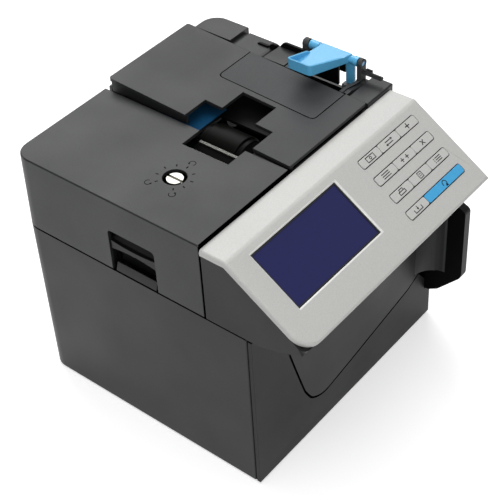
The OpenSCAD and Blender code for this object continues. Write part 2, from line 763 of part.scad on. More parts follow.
lid_y = [upper_y + 1, body_d - back_lean - wall - seam_gap];
lid_cut_wide = [117.4, 70.8, 130.6];
lid_cut_deep = [140.4, 85.8, 115.3];
flap_t = 1.3;
flap_gap = 0.35;
flap_lip = 4;
knuckle_r = 5;
front_lid_arm = [56, 59.3];
front_flap_arm = [59.7, 63.3];
rear_flap_arm = [106.4, 111.4];
rear_lid_arm = [112, ledge_y[0] - 4];
arm_root_x = lid_edge_x - 6.5;
hinge_bore_y = [front_block_y - 5, ledge_y[0] + 5];

// Arm from the lid's right edge to the hinge knuckle, raised over it by lug
module hinge_arm(ys, root_z, lug)
    along_y(ys[0], ys[1]) union() {
        translate(lid_hinge_c) circle(r = knuckle_r);
        polygon(rounded([[arm_root_x, root_z - 2.4], [arm_root_x, root_z], [lid_edge_x + 6, root_z],
                         [lid_hinge_c.x - 5, lid_hinge_c.y + lug],
                         [lid_hinge_c.x + 3.5, lid_hinge_c.y + lug],
                         [lid_hinge_c.x + 4.4, lid_hinge_c.y], [lid_hinge_c.x - 3, lid_hinge_c.y - 3.6],
                         [lid_edge_x + 4, root_z - 4]], [0, 0, 4, 3, 3, 0, 0, 4]));
    }

module flap_plan(g)
    corner_plan([flap_x - g, flap_y - g], [lid_edge_x + (g > 0 ? 1 : 0), flap_y + flap_len + g],
                [4, 0, 0, 4]);

module hopper_lid()
    color("#636466") difference() {
        union() {
            on_lid() translate([0, 0, -lid_t]) linear_extrude(lid_t)
                corner_plan([lid_x, lid_y[0]], [lid_edge_x, lid_y[1]], [0.8, 0.8, 2, 2]);
            // Skirt that closes the wedge at the back and at the left
            lid_skirt();
            hinge_arm(front_lid_arm, lid_top(front_lid_arm[0]) - 0.2, 4);
            hinge_arm(rear_lid_arm, lid_top(rear_lid_arm[0]) - 0.2, 9.5);
            // Tab that carries the lever's catch
            block([catch_x[0], front_lid_arm[0], catch_z], [catch_x[1], front_lid_arm[1], lid_hinge_c.y]);
        }
        on_lid() {
            block([lid_x - 1, lid_cut_wide[1], -20], [lid_cut_wide[0], lid_cut_wide[2], 1]);
            block([lid_x - 1, lid_cut_deep[1], -20], [lid_cut_deep[0], lid_cut_deep[2], 1]);
            // Seat of the flap, open inside its lip
            translate([0, 0, -flap_t - 0.3]) linear_extrude(flap_t + 1) flap_plan(flap_gap);
            block([flap_x + flap_lip, flap_y + flap_lip, -lid_t - 1],
                  [lid_edge_x - 8, flap_y + flap_len - flap_lip, 1]);
        }
        // Gaps for the flap's own arms
        for (a = [front_flap_arm, rear_flap_arm])
            block([arm_root_x - 1, a[0] - flap_gap, lid_hinge_c.y - 8],
                  [lid_edge_x + 2, a[1] + flap_gap, lid_hinge_c.y + 25]);
        bar_y(lid_hinge_c, lid_pin_r + run_gap, hinge_bore_y[0], hinge_bore_y[1]);
    }

module lid_skirt() {
    skirt_z = lid_hinge_z + 2.6;
    difference() {
        union() {
            block([lid_x + 1.8, lid_y[0] + 0.2, skirt_z], [lid_x + 3.8, lid_y[1] - 0.5, lid_top(lid_y[1])]);
            block([lid_x + 1.8, lid_y[1] - 2.5, skirt_z + 2],
                  [lid_edge_x - 2, lid_y[1] - 0.5, lid_top(lid_y[1])]);
        }
        on_lid() block([0, 0, -1], [body_w, body_d + 20, 20]);
    }
}

module hopper_flap()
    color("#636466") difference() {
        union() {
            on_lid() translate([0, 0, -flap_t]) linear_extrude(flap_t) flap_plan(0);
            hinge_arm(front_flap_arm, lid_top(front_flap_arm[0]) - 0.2, 5);
            hinge_arm(rear_flap_arm, lid_top(rear_flap_arm[0]) - 0.2, 5);
            for (a = [front_flap_arm, rear_flap_arm]) lever_lug(a);
            // Rail that runs forward over the front block, with its hook
            along_x(lid_hinge_c.x - 1, lid_hinge_c.x + 1)
                corner_plan([rail_y, rail_z], [front_flap_arm[1], rail_z + 3], [1.4, 0, 0, 1.4]);
            block([lid_hinge_c.x - 1, front_block_y - 3, rail_z + 2],
                  [lid_hinge_c.x + 1, front_block_y + 2, rail_z + 5.4]);
        }
        bar_y(lid_hinge_c, lid_pin_r + run_gap, hinge_bore_y[0], hinge_bore_y[1]);
        bar_y(lever_c, lever_pin_r + run_gap, hinge_bore_y[0], hinge_bore_y[1]);
    }

rail_y = upper_y + 4.4;
rail_z = top_z + 4;
lever_pin_r = 1.8;
module lever_lug(ys)
    along_y(ys[0], ys[1]) union() {
        translate(lever_c) circle(r = 3.6);
        translate([lever_c.x - 3.4, lid_hinge_c.y]) square([6.4, lever_c.y - lid_hinge_c.y]);
    }

tray_y = 76.5;
tray_root_y = [70.5, 95.5];
tray_t = 1.6;
tray_back_x = 16;
tray_low_z = -2.5;
tray_floor_z = 2.4;
knob_ys = [[63.8, 67.2], [98, 105.8]];
leg_y = [67, 74];
leg_w = 2;
leg_foot_z = 195;

// Children drawn from the lever's pivot: x towards the tip, z up
module on_tray()
    translate([lever_c.x, 0, lever_c.y]) mirror([1, 0, 0]) children();

// Plan of the tray, drawn in by g and open towards the pivot
module tray_plan(g)
    polygon(rounded([[-1 - g, tray_root_y[0] + g], [tray_len - g, tray_y + g],
                     [tray_len - g, tray_y + tray_w - g],
                     [-1 - g, tray_root_y[1] - g]], [0, 3 - g, 3 - g, 0]));

// Heights of the tray's lower edge, floor and rim at x
function tray_low(x) = tray_low_z + x * tan(tray_slope);
function tray_floor(x) = tray_floor_z + x * tan(tray_floor_slope);
function tray_top(x) = let (tip = tray_low(tray_len) + tray_rim) -tray_low_z + x * (tip + tray_low_z) / tray_len;

// Walls and floor, seen from the side
module tray_side()
    polygon([[-1, tray_low(-1)], [tray_len, tray_low(tray_len)],
             [tray_len, tray_top(tray_len)], [-1, tray_top(-1)]]);

module tray_floor_side()
    polygon([[-1, tray_floor(-1)], [tray_len, tray_floor(tray_len)],
             [tray_len, tray_floor(tray_len) + tray_t], [-1, tray_floor(-1) + tray_t]]);

// Space past the rounded end of the back wall
module tray_back_gap() {
    rim = unit([1, tray_top(1) - tray_top(0)]);
    end = corner_arc([tray_back_x, tray_top(tray_back_x)], [0, -1], rim, 4, 5);
    polygon(concat([[-3, tray_len], [-3, -tray_len], [tray_back_x, -tray_len]], end,
                   [[end[5].x, tray_len]]));
}

module tray() {
    far = tray_y + tray_w + 10;
    intersection() {
        translate([0, 0, -tray_len]) linear_extrude(2 * tray_len) tray_plan(0);
        along_y(0, far) tray_floor_side();
    }
    difference() {
        intersection() {
            translate([0, 0, -tray_len]) linear_extrude(2 * tray_len) difference() {
                tray_plan(0);
                tray_plan(tray_t);
            }
            along_y(0, far) tray_side();
        }
        along_y(tray_y + tray_w / 2, far) tray_back_gap();
    }
}

module release_lever()
    color("#4fb0dd") union() {
        on_tray() tray();
        bar_y(lever_c, 3.5, knob_ys[0][0], knob_ys[0][1]);
        bar_y(lever_c, 3.5, knob_ys[1][0], knob_ys[1][1]);
        bar_y(lever_c, 3, knob_ys[0][0], knob_ys[1][1]);
        bar_y(lever_c, lever_pin_r, front_flap_arm[0] + 0.3, rear_flap_arm[1] - 0.3);
        // Leg that stands over the catch
        block([lid_hinge_c.x - leg_w / 2, leg_y[0], leg_foot_z],
              [lid_hinge_c.x + leg_w / 2, leg_y[1], lever_c.y]);
    }

module lid_hinge_pins()
    color("#b8b8b8") {
        bar_y(lid_hinge_c, lid_pin_r, front_block_y - 9, front_flap_arm[1]);
        bar_y(lid_hinge_c, lid_pin_r, rear_flap_arm[0], ledge_y[0] + 14);
    }

// Pad that the leg stands over, on a bar from the lid's front arm
catch_x = [lid_hinge_x - 3.5, lid_hinge_x + 1];
catch_z = 189;
module lever_catch()
    color("#6e6e6c") union() {
        block([catch_x[0], front_lid_arm[1], catch_z], [catch_x[1], leg_y[1] + 2, catch_z + 2.8]);
        block([catch_x[0], leg_y[0] - 2, catch_z], [catch_x[1], leg_y[1] + 2, leg_foot_z - 0.5]);
    }

// ---------- note path ----------

pickup_w = 14;
pickup_ys = [56, 130];
plate_x = [18, pickup_c.x + 8];

module side_plate_form(y)
    along_y(y, y + plate_t) difference() {
        union() {
            polygon(rounded([[plate_x[0], plate_foot_z], [plate_x[1], plate_foot_z],
                             [plate_x[1], plate_top_z],
                             [plate_x[0], plate_top_z]], [2, 2, 2, 20]));
            translate([cover_hinge_c.x - 2.7, plate_top_z - 5])
                square([5.4, cover_hinge_c.y - plate_top_z + 5]);
            translate(cover_hinge_c) circle(r = 2.7);
        }
        for (c = [feed_c, pickup_c, stacker_c]) translate(c) circle(r = bush_r);
        translate(cover_hinge_c) circle(r = cover_pin_r);
        for (c = tie_places) translate(c) circle(r = tie_end_r);
    }

tie_r = 4;
tie_end_r = 2.5;
tie_places = [[28, 14], [plate_x[1] - 10, 14], [28, 150], [60, 120]];

module front_side_plate()
    color("#9a9c9e") side_plate_form(plate_y[0]);

module rear_side_plate()
    color("#9a9c9e") difference() {
        side_plate_form(plate_y[1]);
        bar_y(motor_c, motor_boss_r + 0.2, plate_y[1] - 1, rear_face_y + 1);
    }

module tie_bars()
    color("#b4b6b8") for (c = tie_places) union() {
        bar_y(c, tie_r, plate_y[0] + plate_t, plate_y[1]);
        bar_y(c, tie_end_r, plate_y[0] - 1, rear_face_y + 1);
    }

// Bushes pressed into the side plates
module shaft_bushes()
    color("#b08a4a") for (y = [plate_y[0] - 1, plate_y[1] - 2])
        for (c = [feed_c, pickup_c, stacker_c]) difference() {
            bar_y(c, bush_r, y, y + bush_w);
            bar_y(c, shaft_r + run_gap, y - 1, y + bush_w + 1);
        }

bridge_z = 183;
bridge_t = 3;
guide_ys = [70, 121];
guide_r = 2.5;
guide_foot_z = 150;
module adjust_bridge()
    color("#8f9193") difference() {
        union() {
            block([dial_x - 12, plate_y[0] + plate_t, bridge_z],
                  [dial_x + 12, plate_y[1], bridge_z + bridge_t]);
            block([dial_x - 12, plate_y[0] + plate_t, bridge_z - 9], [dial_x - 10, plate_y[1], bridge_z]);
            for (y = guide_ys) translate([dial_x, y, guide_foot_z])
                cylinder(r = guide_r, h = bridge_z - guide_foot_z);
        }
        translate([dial_x, dial_y, bridge_z - 1]) cylinder(r = dial_shank_r + run_gap, h = bridge_t + 2);
    }

screw_top_z = 202.8;
head_t = 4.5;
module adjust_screw()
    color("#d9dadb") difference() {
        union() {
            translate([dial_x, dial_y, guide_foot_z + 2])
                cylinder(r = dial_shank_r, h = screw_top_z - guide_foot_z - 3);
            translate([dial_x, dial_y, screw_top_z - head_t]) cylinder(r = dial_head_r, h = head_t);
            translate([dial_x, dial_y, bridge_z + bridge_t + 0.1]) cylinder(r = dial_head_r, h = 2);
        }
        block([dial_x - 0.8, dial_y - dial_head_r - 1, screw_top_z - 1.5],
              [dial_x + 0.8, dial_y + dial_head_r + 1, screw_top_z + 1]);
    }

bracket_z = [160, 170];
retard_y = [93, 108];
module retard_bracket()
    color("#2b2b2d") difference() {
        union() {
            block([dial_x - 8, guide_ys[0] - 6, bracket_z[0]], [dial_x + 8, guide_ys[1] + 6, bracket_z[1]]);
            // Fork that holds the retard roller
            for (y = [retard_y[0] - 4, retard_y[1] + 1])
                along_y(y, y + 3) union() {
                    translate([dial_x, bracket_z[0]])
                        square([retard_c.x - dial_x, bracket_z[1] - bracket_z[0]]);
                    translate(retard_c) circle(r = 5);
                }
        }
        translate([dial_x, dial_y, bracket_z[0] - 1]) cylinder(r = dial_shank_r + run_gap, h = 20);
        for (y = guide_ys) translate([dial_x, y, bracket_z[0] - 1]) cylinder(r = guide_r + run_gap, h = 20);
        bar_y(retard_c, retard_pin_r, retard_y[0] - 5, retard_y[1] + 5);
    }

retard_pin_r = 2;
module retard_roller()
    color("#3b3b3b") union() {
        bar_y(retard_c, retard_r, retard_y[0], retard_y[1]);
        bar_y(retard_c, retard_pin_r, retard_y[0] - 4, retard_y[1] + 4);
    }

module feed_shaft()
    color("#c4c6c8") union() {
        bar_y(feed_c, shaft_r, plate_y[0] - 1.5, track(3) - 0.5);
        for (n = [0:2]) pulley(feed_c, n, feed_pulley_r);
    }

// Flanged pulley on belt track n
module pulley(c, n, r)
    union() {
        bar_y(c, r, track(n), track(n) + track_w);
        bar_y(c, r + 1.2, track(n) - 0.5, track(n) - 0.1);
        bar_y(c, r + 1.2, track(n) + track_w + 0.1, track(n) + track_w + 0.5);
        bar_y(c, r - 1, track(n) - 0.5, track(n) + track_w + 0.5);
    }

cheek_w = 4;
module feed_drum()
    color("#2a2a28") difference() {
        union() {
            bar_y(feed_c, drum_r, drum_y - drum_w / 2, drum_y + drum_w / 2);
            bar_y(feed_c, drum_r - 1.5, drum_y - drum_w / 2 - cheek_w, drum_y + drum_w / 2 + cheek_w);
        }
        bar_y(feed_c, shaft_r, drum_y - drum_w, drum_y + drum_w);
    }

module pickup_shaft()
    color("#c4c6c8") union() {
        bar_y(pickup_c, shaft_r, plate_y[0] - 1.5, track(3) - 0.5);
        pulley(pickup_c, 2, pickup_pulley_r);
    }

module pickup_rollers()
    color("#3b3b3b") for (y = pickup_ys) difference() {
        bar_y(pickup_c, pickup_r, y, y + pickup_w);
        bar_y(pickup_c, shaft_r, y - 1, y + pickup_w + 1);
    }

module stacker_shaft()
    color("#c4c6c8") union() {
        bar_y(stacker_c, shaft_r, plate_y[0] - 1.5, track(2) - 0.5);
        pulley(stacker_c, 1, stacker_pulley_r);
    }

// Wheel with curved fingers that slow the notes and lay them on the pile
hub_r = 13;
finger_t = 2.6;
module stacker_wheels()
    color("#38393b") for (y = wheel_ys)
        along_y(y - wheel_w / 2, y + wheel_w / 2) translate(stacker_c) difference() {
            union() {
                circle(r = hub_r);
                for (k = [0:finger_count - 1]) rotate(k * 360 / finger_count) finger();
            }
            circle(r = shaft_r);
        }

// One finger: a blade that leaves the hub and sweeps round to the wheel's rim,
// thinner towards its tip
finger_sweep = 74;
finger_steps = 9;
function finger_spine(t) =
    let (r = hub_r - 1 + (stacker_r - hub_r + 0.6) * t, a = finger_sweep * t * (1 + t) / 2)
    r * [cos(a), sin(a)];

function finger_edge(t, side) =
    let (d = unit(finger_spine(t + 0.01) - finger_spine(t - 0.01)), half = finger_t * (1 - 0.55 * t) / 2)
    finger_spine(t) + side * half * [-d.y, d.x];

module finger()
    polygon(concat([for (k = [0:finger_steps]) finger_edge(k / finger_steps, 1)],
                   [for (k = [finger_steps:-1:0]) finger_edge(k / finger_steps, -1)]));

motor_r = 25;
motor_len = 58;
motor_boss_r = 11;
module drive_motor()
    color("#a5a7a9") difference() {
        union() {
            bar_y(motor_c, motor_r, plate_y[1] - motor_len, plate_y[1]);
            bar_y(motor_c, motor_boss_r, plate_y[1] - 1, rear_face_y);
            bar_y(motor_c, motor_boss_r - 3, plate_y[1] - motor_len - 4, plate_y[1] - motor_len + 1);
        }
        bar_y(motor_c, motor_shaft_r + run_gap, rear_face_y - 14, rear_face_y + 1);
    }
motor_shaft_r = 3;

module motor_pulley()
    color("#c4c6c8") union() {
        bar_y(motor_c, motor_shaft_r, rear_face_y - 12, track(1) - 0.5);
        pulley(motor_c, 0, motor_pulley_r);
    }

// Outline of a belt around two pulleys of radii ra and rb, grown by g
module belt_loop(a, b, ra, rb, g) {
    d = norm(b - a);
    dir = atan2(b.y - a.y, b.x - a.x);
    lean = acos((ra - rb) / d);
    union() {
        translate(a) circle(r = ra + g);
        translate(b) circle(r = rb + g);
        polygon([for (s = [1, -1]) each [for (end = s > 0 ? [0, 1] : [1, 0])
            (end == 0 ? a : b) + ((end == 0 ? ra : rb) + g) * [cos(dir + s * lean), sin(dir + s * lean)]]]);
    }
}

module belt(a, b, ra, rb, n)
    along_y(track(n) + 0.2, track(n) + track_w - 0.2) difference() {
        belt_loop(a, b, ra, rb, belt_t);
        belt_loop(a, b, ra, rb, belt_gap);
    }

belt_gap = 0.1;
module drive_belts()
    color("#161616") {
        belt(motor_c, feed_c, motor_pulley_r, feed_pulley_r, 0);
        belt(feed_c, stacker_c, feed_pulley_r, stacker_pulley_r, 1);
        belt(feed_c, pickup_c, feed_pulley_r, pickup_pulley_r, 2);
    }

// ---------- electrics ----------

board_t = 1.6;
sensor_x = stacker_c.x - 15;
sensor_z = 153;
sensor_count = 6;
sensor_w = 7;
sensor_ends = [12.5, 11];
sensor_pitch = (plate_y[1] - plate_y[0] - sensor_ends[0] - sensor_ends[1] - sensor_w) / (sensor_count - 1);
module sensor_bar()
    color("#16301f") union() {
        block([sensor_x - 9, plate_y[0] + plate_t, sensor_z], [sensor_x + 9, plate_y[1], sensor_z + 2]);
        for (k = [0:sensor_count - 1])
            translate([sensor_x - 4, plate_y[0] + sensor_ends[0] + k * sensor_pitch, sensor_z + 2])
                cube([sensor_w, sensor_w, 4]);
    }

// Board with its four posts, against the front side plate
main_board_y = 8;
main_board_x = [30, plate_x[1] - 8];
main_board_z = [20, 110];
module main_board()
    color("#1f5a3a") union() {
        face_y = main_board_y + board_t;
        block([main_board_x[0], main_board_y, main_board_z[0]], [main_board_x[1], face_y, main_board_z[1]]);
        for (x = main_board_x + [6, -6], z = main_board_z + [6, -6]) bar_y([x, z], 2, face_y, plate_y[0]);
        translate([60, face_y, 50]) cube([30, 3.4, 30]);
        translate([main_board_x[1] - 40, face_y, 30]) cube([10, 5.4, 40]);
        translate([main_board_x[1] - 50, face_y, 84]) cube([35, 6.4, 8]);
    }

// Board with its transformer and capacitors, on four posts
supply_x = [90, 150];
supply_y = [60, plate_y[1] - 24];
supply_z = 22;
module power_supply()
    color("#2a6a48") union() {
        block([supply_x[0], supply_y[0], supply_z], [supply_x[1], supply_y[1], supply_z + board_t]);
        translate([supply_x[0] + 6, supply_y[0] + 10, supply_z + board_t]) cube([26, 30, 26.4]);
        for (c = [[supply_x[1] - 15, supply_y[0] + 19, 28.4], [supply_x[1] - 15, supply_y[0] + 43, 22.4]])
            translate([c.x, c.y, supply_z + board_t])
            cylinder(r = 7, h = c.z);
        for (x = [supply_x[0] + 3, supply_x[1] - 10], y = supply_y + [3, -3])
            translate([x, y, plate_foot_z]) cylinder(r = 2, h = supply_z - plate_foot_z);
    }

module power_inlet()
    color("#1a1a1a") difference() {
        block([inlet_x - inlet_size.x / 2, body_d - 19, inlet_z - inlet_size.y / 2],
              [inlet_x + inlet_size.x / 2, body_d - 0.2, inlet_z + inlet_size.y / 2]);
        along_y(body_d - 16, body_d + 1)
            polygon(rounded([[inlet_x - 12, inlet_z - 8], [inlet_x + 12, inlet_z - 8],
                             [inlet_x + 12, inlet_z + 3],
                             [inlet_x + 7, inlet_z + 8], [inlet_x - 7, inlet_z + 8],
                             [inlet_x - 12, inlet_z + 3]],
                            [1, 1, 1, 1, 1, 1]));
    }

// Rocker, at rest with its lower end pressed in
rocker_y = body_d - 7;
rocker_tilt = 7;
rocker_pin_r = 1.2;
module power_switch()
    color("#161616") difference() {
        along_x(switch_x - switch_size.x / 2 + 1.1, switch_x + switch_size.x / 2 - 1.1)
            translate([rocker_y, inlet_z]) rotate(rocker_tilt)
                polygon([[-4, -5], [-4, 5], [1.5, 8.4], [5, 8.4], [3.4, 0], [5, -8.4], [1.5, -8.4]]);
        along_x(switch_x - 20, switch_x + 20)
            translate([rocker_y, inlet_z]) circle(r = rocker_pin_r + run_gap);
    }

module switch_case()
    color("#1a1a1a") {
        difference() {
            block([switch_x - switch_size.x / 2, body_d - 19, inlet_z - switch_size.y / 2],
                  [switch_x + switch_size.x / 2, body_d - 0.2, inlet_z + switch_size.y / 2]);
            block([switch_x - switch_size.x / 2 + 0.8, body_d - 16, inlet_z - switch_size.y / 2 + 0.8],
                  [switch_x + switch_size.x / 2 - 0.8, body_d + 1, inlet_z + switch_size.y / 2 - 0.8]);
        }
        along_x(switch_x - switch_size.x / 2 + 0.4, switch_x + switch_size.x / 2 - 0.4)
            translate([rocker_y, inlet_z]) circle(r = rocker_pin_r);
    }

// Screw heads in the back wall, as [x, z]
screw_places = [[18, 14], [18, seam_z - 15.4], [body_w - 25, 14], [112, seam_z - 15.4]];
screw_r = 3;
screw_t = 1.2;
module shell_screws()
    color("#8b8d8f") for (p = screw_places)
        translate([p.x, body_d - screw_t - 0.1, p.y]) rotate([-90, 0, 0]) difference() {
            cylinder(r = screw_r, h = screw_t);
            translate([-0.5, -screw_r - 1, screw_t - 0.6]) cube([1, 2 * screw_r + 2, 2]);
        }

placed() base_shell();
placed() base_plate();
placed() rubber_feet();
placed() front_cover();
placed() stacker_wall();
placed() stacker_chute();
placed() pod_shell();
placed() control_panel();
placed() display_glass();
placed() display_module();
placed() key_board();
placed() key_currency();
placed() key_mode();
placed() key_add();
placed() key_batch();
placed() key_ten();
placed() key_clear();
placed() key_print();
placed() key_report();
placed() key_menu();
placed() key_value();
placed() key_reset();
placed() top_cover();
placed() cover_latch();
placed() latch_pin();
placed() cover_hinge_pins();
placed() top_frame();
placed() hopper_floor();
placed() note_guide();
placed() nip_plate();
placed() guide_strips();
placed() hopper_lid();
placed() hopper_flap();
placed() release_lever();
placed() lid_hinge_pins();
placed() lever_catch();
placed() front_side_plate();
placed() rear_side_plate();
placed() tie_bars();
placed() shaft_bushes();
placed() adjust_bridge();
placed() adjust_screw();
placed() retard_bracket();
placed() retard_roller();
placed() feed_shaft();
placed() feed_drum();
placed() pickup_shaft();
placed() pickup_rollers();
placed() stacker_shaft();
placed() stacker_wheels();
placed() drive_motor();
placed() motor_pulley();
placed() drive_belts();
placed() sensor_bar();
placed() main_board();
placed() power_supply();
placed() power_inlet();
placed() power_switch();
placed() switch_case();
placed() shell_screws();
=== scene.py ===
from math import atan2, cos, degrees, pi, radians, sin

import bmesh
import bpy
from mathutils import Matrix, Vector


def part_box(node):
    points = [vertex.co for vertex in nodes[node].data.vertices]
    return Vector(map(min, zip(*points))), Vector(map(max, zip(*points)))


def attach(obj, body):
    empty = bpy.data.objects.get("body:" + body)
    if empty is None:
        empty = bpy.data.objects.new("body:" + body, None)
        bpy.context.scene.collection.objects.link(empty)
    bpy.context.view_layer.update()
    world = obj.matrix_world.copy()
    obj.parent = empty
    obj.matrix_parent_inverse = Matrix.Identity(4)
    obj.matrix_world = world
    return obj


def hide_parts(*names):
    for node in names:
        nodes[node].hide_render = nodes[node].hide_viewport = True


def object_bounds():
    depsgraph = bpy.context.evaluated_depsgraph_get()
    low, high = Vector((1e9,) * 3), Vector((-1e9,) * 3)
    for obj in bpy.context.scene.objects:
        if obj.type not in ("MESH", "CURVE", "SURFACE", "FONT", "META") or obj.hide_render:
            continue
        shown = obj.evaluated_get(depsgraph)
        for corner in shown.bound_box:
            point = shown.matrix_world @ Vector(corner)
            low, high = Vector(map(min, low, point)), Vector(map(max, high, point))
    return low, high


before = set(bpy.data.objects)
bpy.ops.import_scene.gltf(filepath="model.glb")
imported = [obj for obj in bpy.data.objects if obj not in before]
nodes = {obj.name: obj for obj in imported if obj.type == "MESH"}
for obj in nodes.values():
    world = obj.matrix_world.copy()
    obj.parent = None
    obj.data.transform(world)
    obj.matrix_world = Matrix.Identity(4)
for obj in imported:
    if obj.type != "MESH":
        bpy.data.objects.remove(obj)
cad_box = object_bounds()
bpy.ops.object.select_all(action="DESELECT")

# ---------------------------------------------------------------------------
# Camera
# A long lens looks down on the machine's left front corner, and leans a little
# to one side.
camera_place = Vector((-0.5587, -0.4768, 0.7500))
camera_heading = 49.0
camera_dip = 41.42
camera_lean = -3.66
camera_lens_mm = 96.7

camera_data = bpy.data.cameras.new("camera")
camera_data.lens = camera_lens_mm
camera_data.sensor_width = 36
camera_data.clip_start = 0.01
camera = bpy.data.objects.new("camera", camera_data)
bpy.context.scene.collection.objects.link(camera)
camera.matrix_world = (
    Matrix.Translation(camera_place)
    @ Matrix.Rotation(radians(-camera_heading), 4, "Z")
    @ Matrix.Rotation(radians(90 - camera_dip), 4, "X")
    @ Matrix.Rotation(radians(camera_lean), 4, "Z")
)
bpy.context.scene.camera = camera
bpy.context.scene.view_settings.view_transform = "Standard"

# ---------------------------------------------------------------------------
# Floor
# A sheet of pale paper, which the eye sees as white and which still takes the
# machine's soft shadow.
floor_size = 12.0
floor_hex = "#e6e6e6"
floor_glow = 0.52


def linear(hex_colour):
    """An sRGB hex colour as the linear values that a shader takes."""
    steps = [int(hex_colour[i:i + 2], 16) / 255 for i in (1, 3, 5)]
    return [s / 12.92 if s <= 0.04045 else ((s + 0.055) / 1.055) ** 2.4 for s in steps] + [1.0]


def add_node(material, kind, inputs, **settings):
    """A shader node: its inputs are given as values or as sockets to link from."""
    node = material.node_tree.nodes.new(kind)
    for setting, value in settings.items():
        setattr(node, setting, value)
    for socket, value in inputs.items():
        if isinstance(value, bpy.types.NodeSocket):
            material.node_tree.links.new(value, node.inputs[socket])
        else:
            node.inputs[socket].default_value = value
    return node


def empty_material(name):
    """A material with nothing in it but its output."""
    material = bpy.data.materials.new(name)
    material.use_nodes = True
    material.node_tree.nodes.clear()
    return material


def surface(material, shader):
    """Joins the last shader to the material's output."""
    add_node(material, "ShaderNodeOutputMaterial", {"Surface": shader.outputs[0]})
    return material


def seen_directly(material):
    """1 for what the eye, a mirror or a pane of glass sees, and 0 for bounced light."""
    ray = add_node(material, "ShaderNodeLightPath", {})
    share = ray.outputs["Is Camera Ray"]
    for other in ("Is Glossy Ray", "Is Transmission Ray"):
        share = add_node(
            material, "ShaderNodeMath", {0: share, 1: ray.outputs[other]}, operation="MAXIMUM"
        ).outputs[0]
    return share


paper = empty_material("pale_paper")
paper_place = add_node(paper, "ShaderNodeTexCoord", {})
paper_fibre = add_node(
    paper, "ShaderNodeTexNoise", {"Vector": paper_place.outputs["Object"], "Scale": 400.0, "Detail": 2.0}
)
paper_bump = add_node(
    paper, "ShaderNodeBump", {"Height": paper_fibre.outputs["Fac"], "Strength": 0.05, "Distance": 0.0002}
)
paper_light = add_node(
    paper, "ShaderNodeBsdfDiffuse", {"Color": linear(floor_hex), "Normal": paper_bump.outputs[0]}
)
paper_glow = add_node(
    paper,
    "ShaderNodeEmission",
    {
        "Color": linear("#ffffff"),
        "Strength": add_node(
            paper, "ShaderNodeMath", {0: seen_directly(paper), 1: floor_glow}, operation="MULTIPLY"
        ).outputs[0],
    },
)
surface(paper, add_node(paper, "ShaderNodeAddShader", {0: paper_light.outputs[0], 1: paper_glow.outputs[0]}))

bpy.ops.mesh.primitive_plane_add(size=floor_size, location=(0, 0, cad_box[0].z))
floor = bpy.context.object
floor.name = "floor"
floor.data.materials.append(paper)

# ---------------------------------------------------------------------------
# Lights
# A large soft box hangs behind and above the machine, so that its tops carry a
# sheen that grows towards the front. A second fills the left side, and a weak
# third the front. The room itself is an even white.
room_strength = 0.30


def soft_box(name, place, aim, size, watts):
    """A square lamp that faces a point on the machine."""
    data = bpy.data.lights.new(name, "AREA")
    data.shape = "SQUARE"
    data.size = size
    data.energy = watts
    lamp = bpy.data.objects.new(name, data)
    bpy.context.scene.collection.objects.link(lamp)
    lamp.location = place
    lamp.rotation_euler = (Vector(aim) - Vector(place)).to_track_quat("-Z", "Y").to_euler()
    return lamp


machine_middle = (0, 0, 0.12)
soft_box("back_light", (0.9, 1.0, 1.5), machine_middle, 1.3, 20)
soft_box("top_light", (-0.3, -0.2, 2.0), machine_middle, 1.4, 17)
soft_box("left_light", (-1.9, -0.4, 0.9), machine_middle, 1.2, 3.6)
soft_box("front_light", (-0.5, -0.75, 0.75), machine_middle, 0.5, 1.6)

room = bpy.data.worlds.new("room")
bpy.context.scene.world = room
room.use_nodes = True
room.node_tree.nodes["Background"].inputs["Color"].default_value = linear("#ffffff")
room.node_tree.nodes["Background"].inputs["Strength"].default_value = room_strength

# ---------------------------------------------------------------------------
# Base shell and bottom plate
# The shell is black ABS from a mould with a fine spark-eroded grain, and its
# corners are a little rounded. The bottom plate is steel sheet in the same
# black, screwed up into the shell, and a shut line runs round the shell's rim.


def moulded_plastic(
    name, hex_colour, fleck_hex, roughness, grain_mm, grain_depth_mm=0.03, edge_mm=0.5, gloss_level=0.5
):
    """A moulded plastic: flecked colour, a fine grain, an uneven gloss and soft edges."""
    gloss_low, gloss_high = roughness - 0.04, roughness + 0.04
    material = empty_material(name)
    place = add_node(material, "ShaderNodeTexCoord", {}).outputs["Object"]
    grain = add_node(
        material, "ShaderNodeTexNoise", {"Vector": place, "Scale": 1000 / grain_mm, "Detail": 2.0}
    ).outputs["Fac"]
    cloud = add_node(
        material, "ShaderNodeTexNoise", {"Vector": place, "Scale": 18.0, "Detail": 3.0}
    ).outputs["Fac"]
    fleck = add_node(
        material, "ShaderNodeMapRange", {"Value": grain, "From Min": 0.35, "From Max": 0.65}
    ).outputs[0]
    colour = add_node(
        material,
        "ShaderNodeMixRGB",
        {"Fac": fleck, "Color1": linear(hex_colour), "Color2": linear(fleck_hex)},
    ).outputs[0]
    gloss = add_node(
        material,
        "ShaderNodeMapRange",
        {"Value": cloud, "From Min": 0.3, "From Max": 0.7, "To Min": gloss_low, "To Max": gloss_high},
    ).outputs[0]
    soft_edge = add_node(material, "ShaderNodeBevel", {"Radius": edge_mm / 1000}, samples=4).outputs[0]
    bump = add_node(
        material,
        "ShaderNodeBump",
        {"Height": grain, "Strength": 0.4, "Distance": grain_depth_mm / 1000, "Normal": soft_edge},
    ).outputs[0]
    shader = add_node(
        material,
        "ShaderNodeBsdfPrincipled",
        {
            "Base Color": colour,
            "Roughness": gloss,
            "IOR": 1.53,
            "Specular IOR Level": gloss_level,
            "Normal": bump,
        },
    )
    return surface(material, shader)


def dress(material, *names):
    """Gives CAD nodes their material."""
    for name in names:
        nodes[name].data.materials.clear()
        nodes[name].data.materials.append(material)


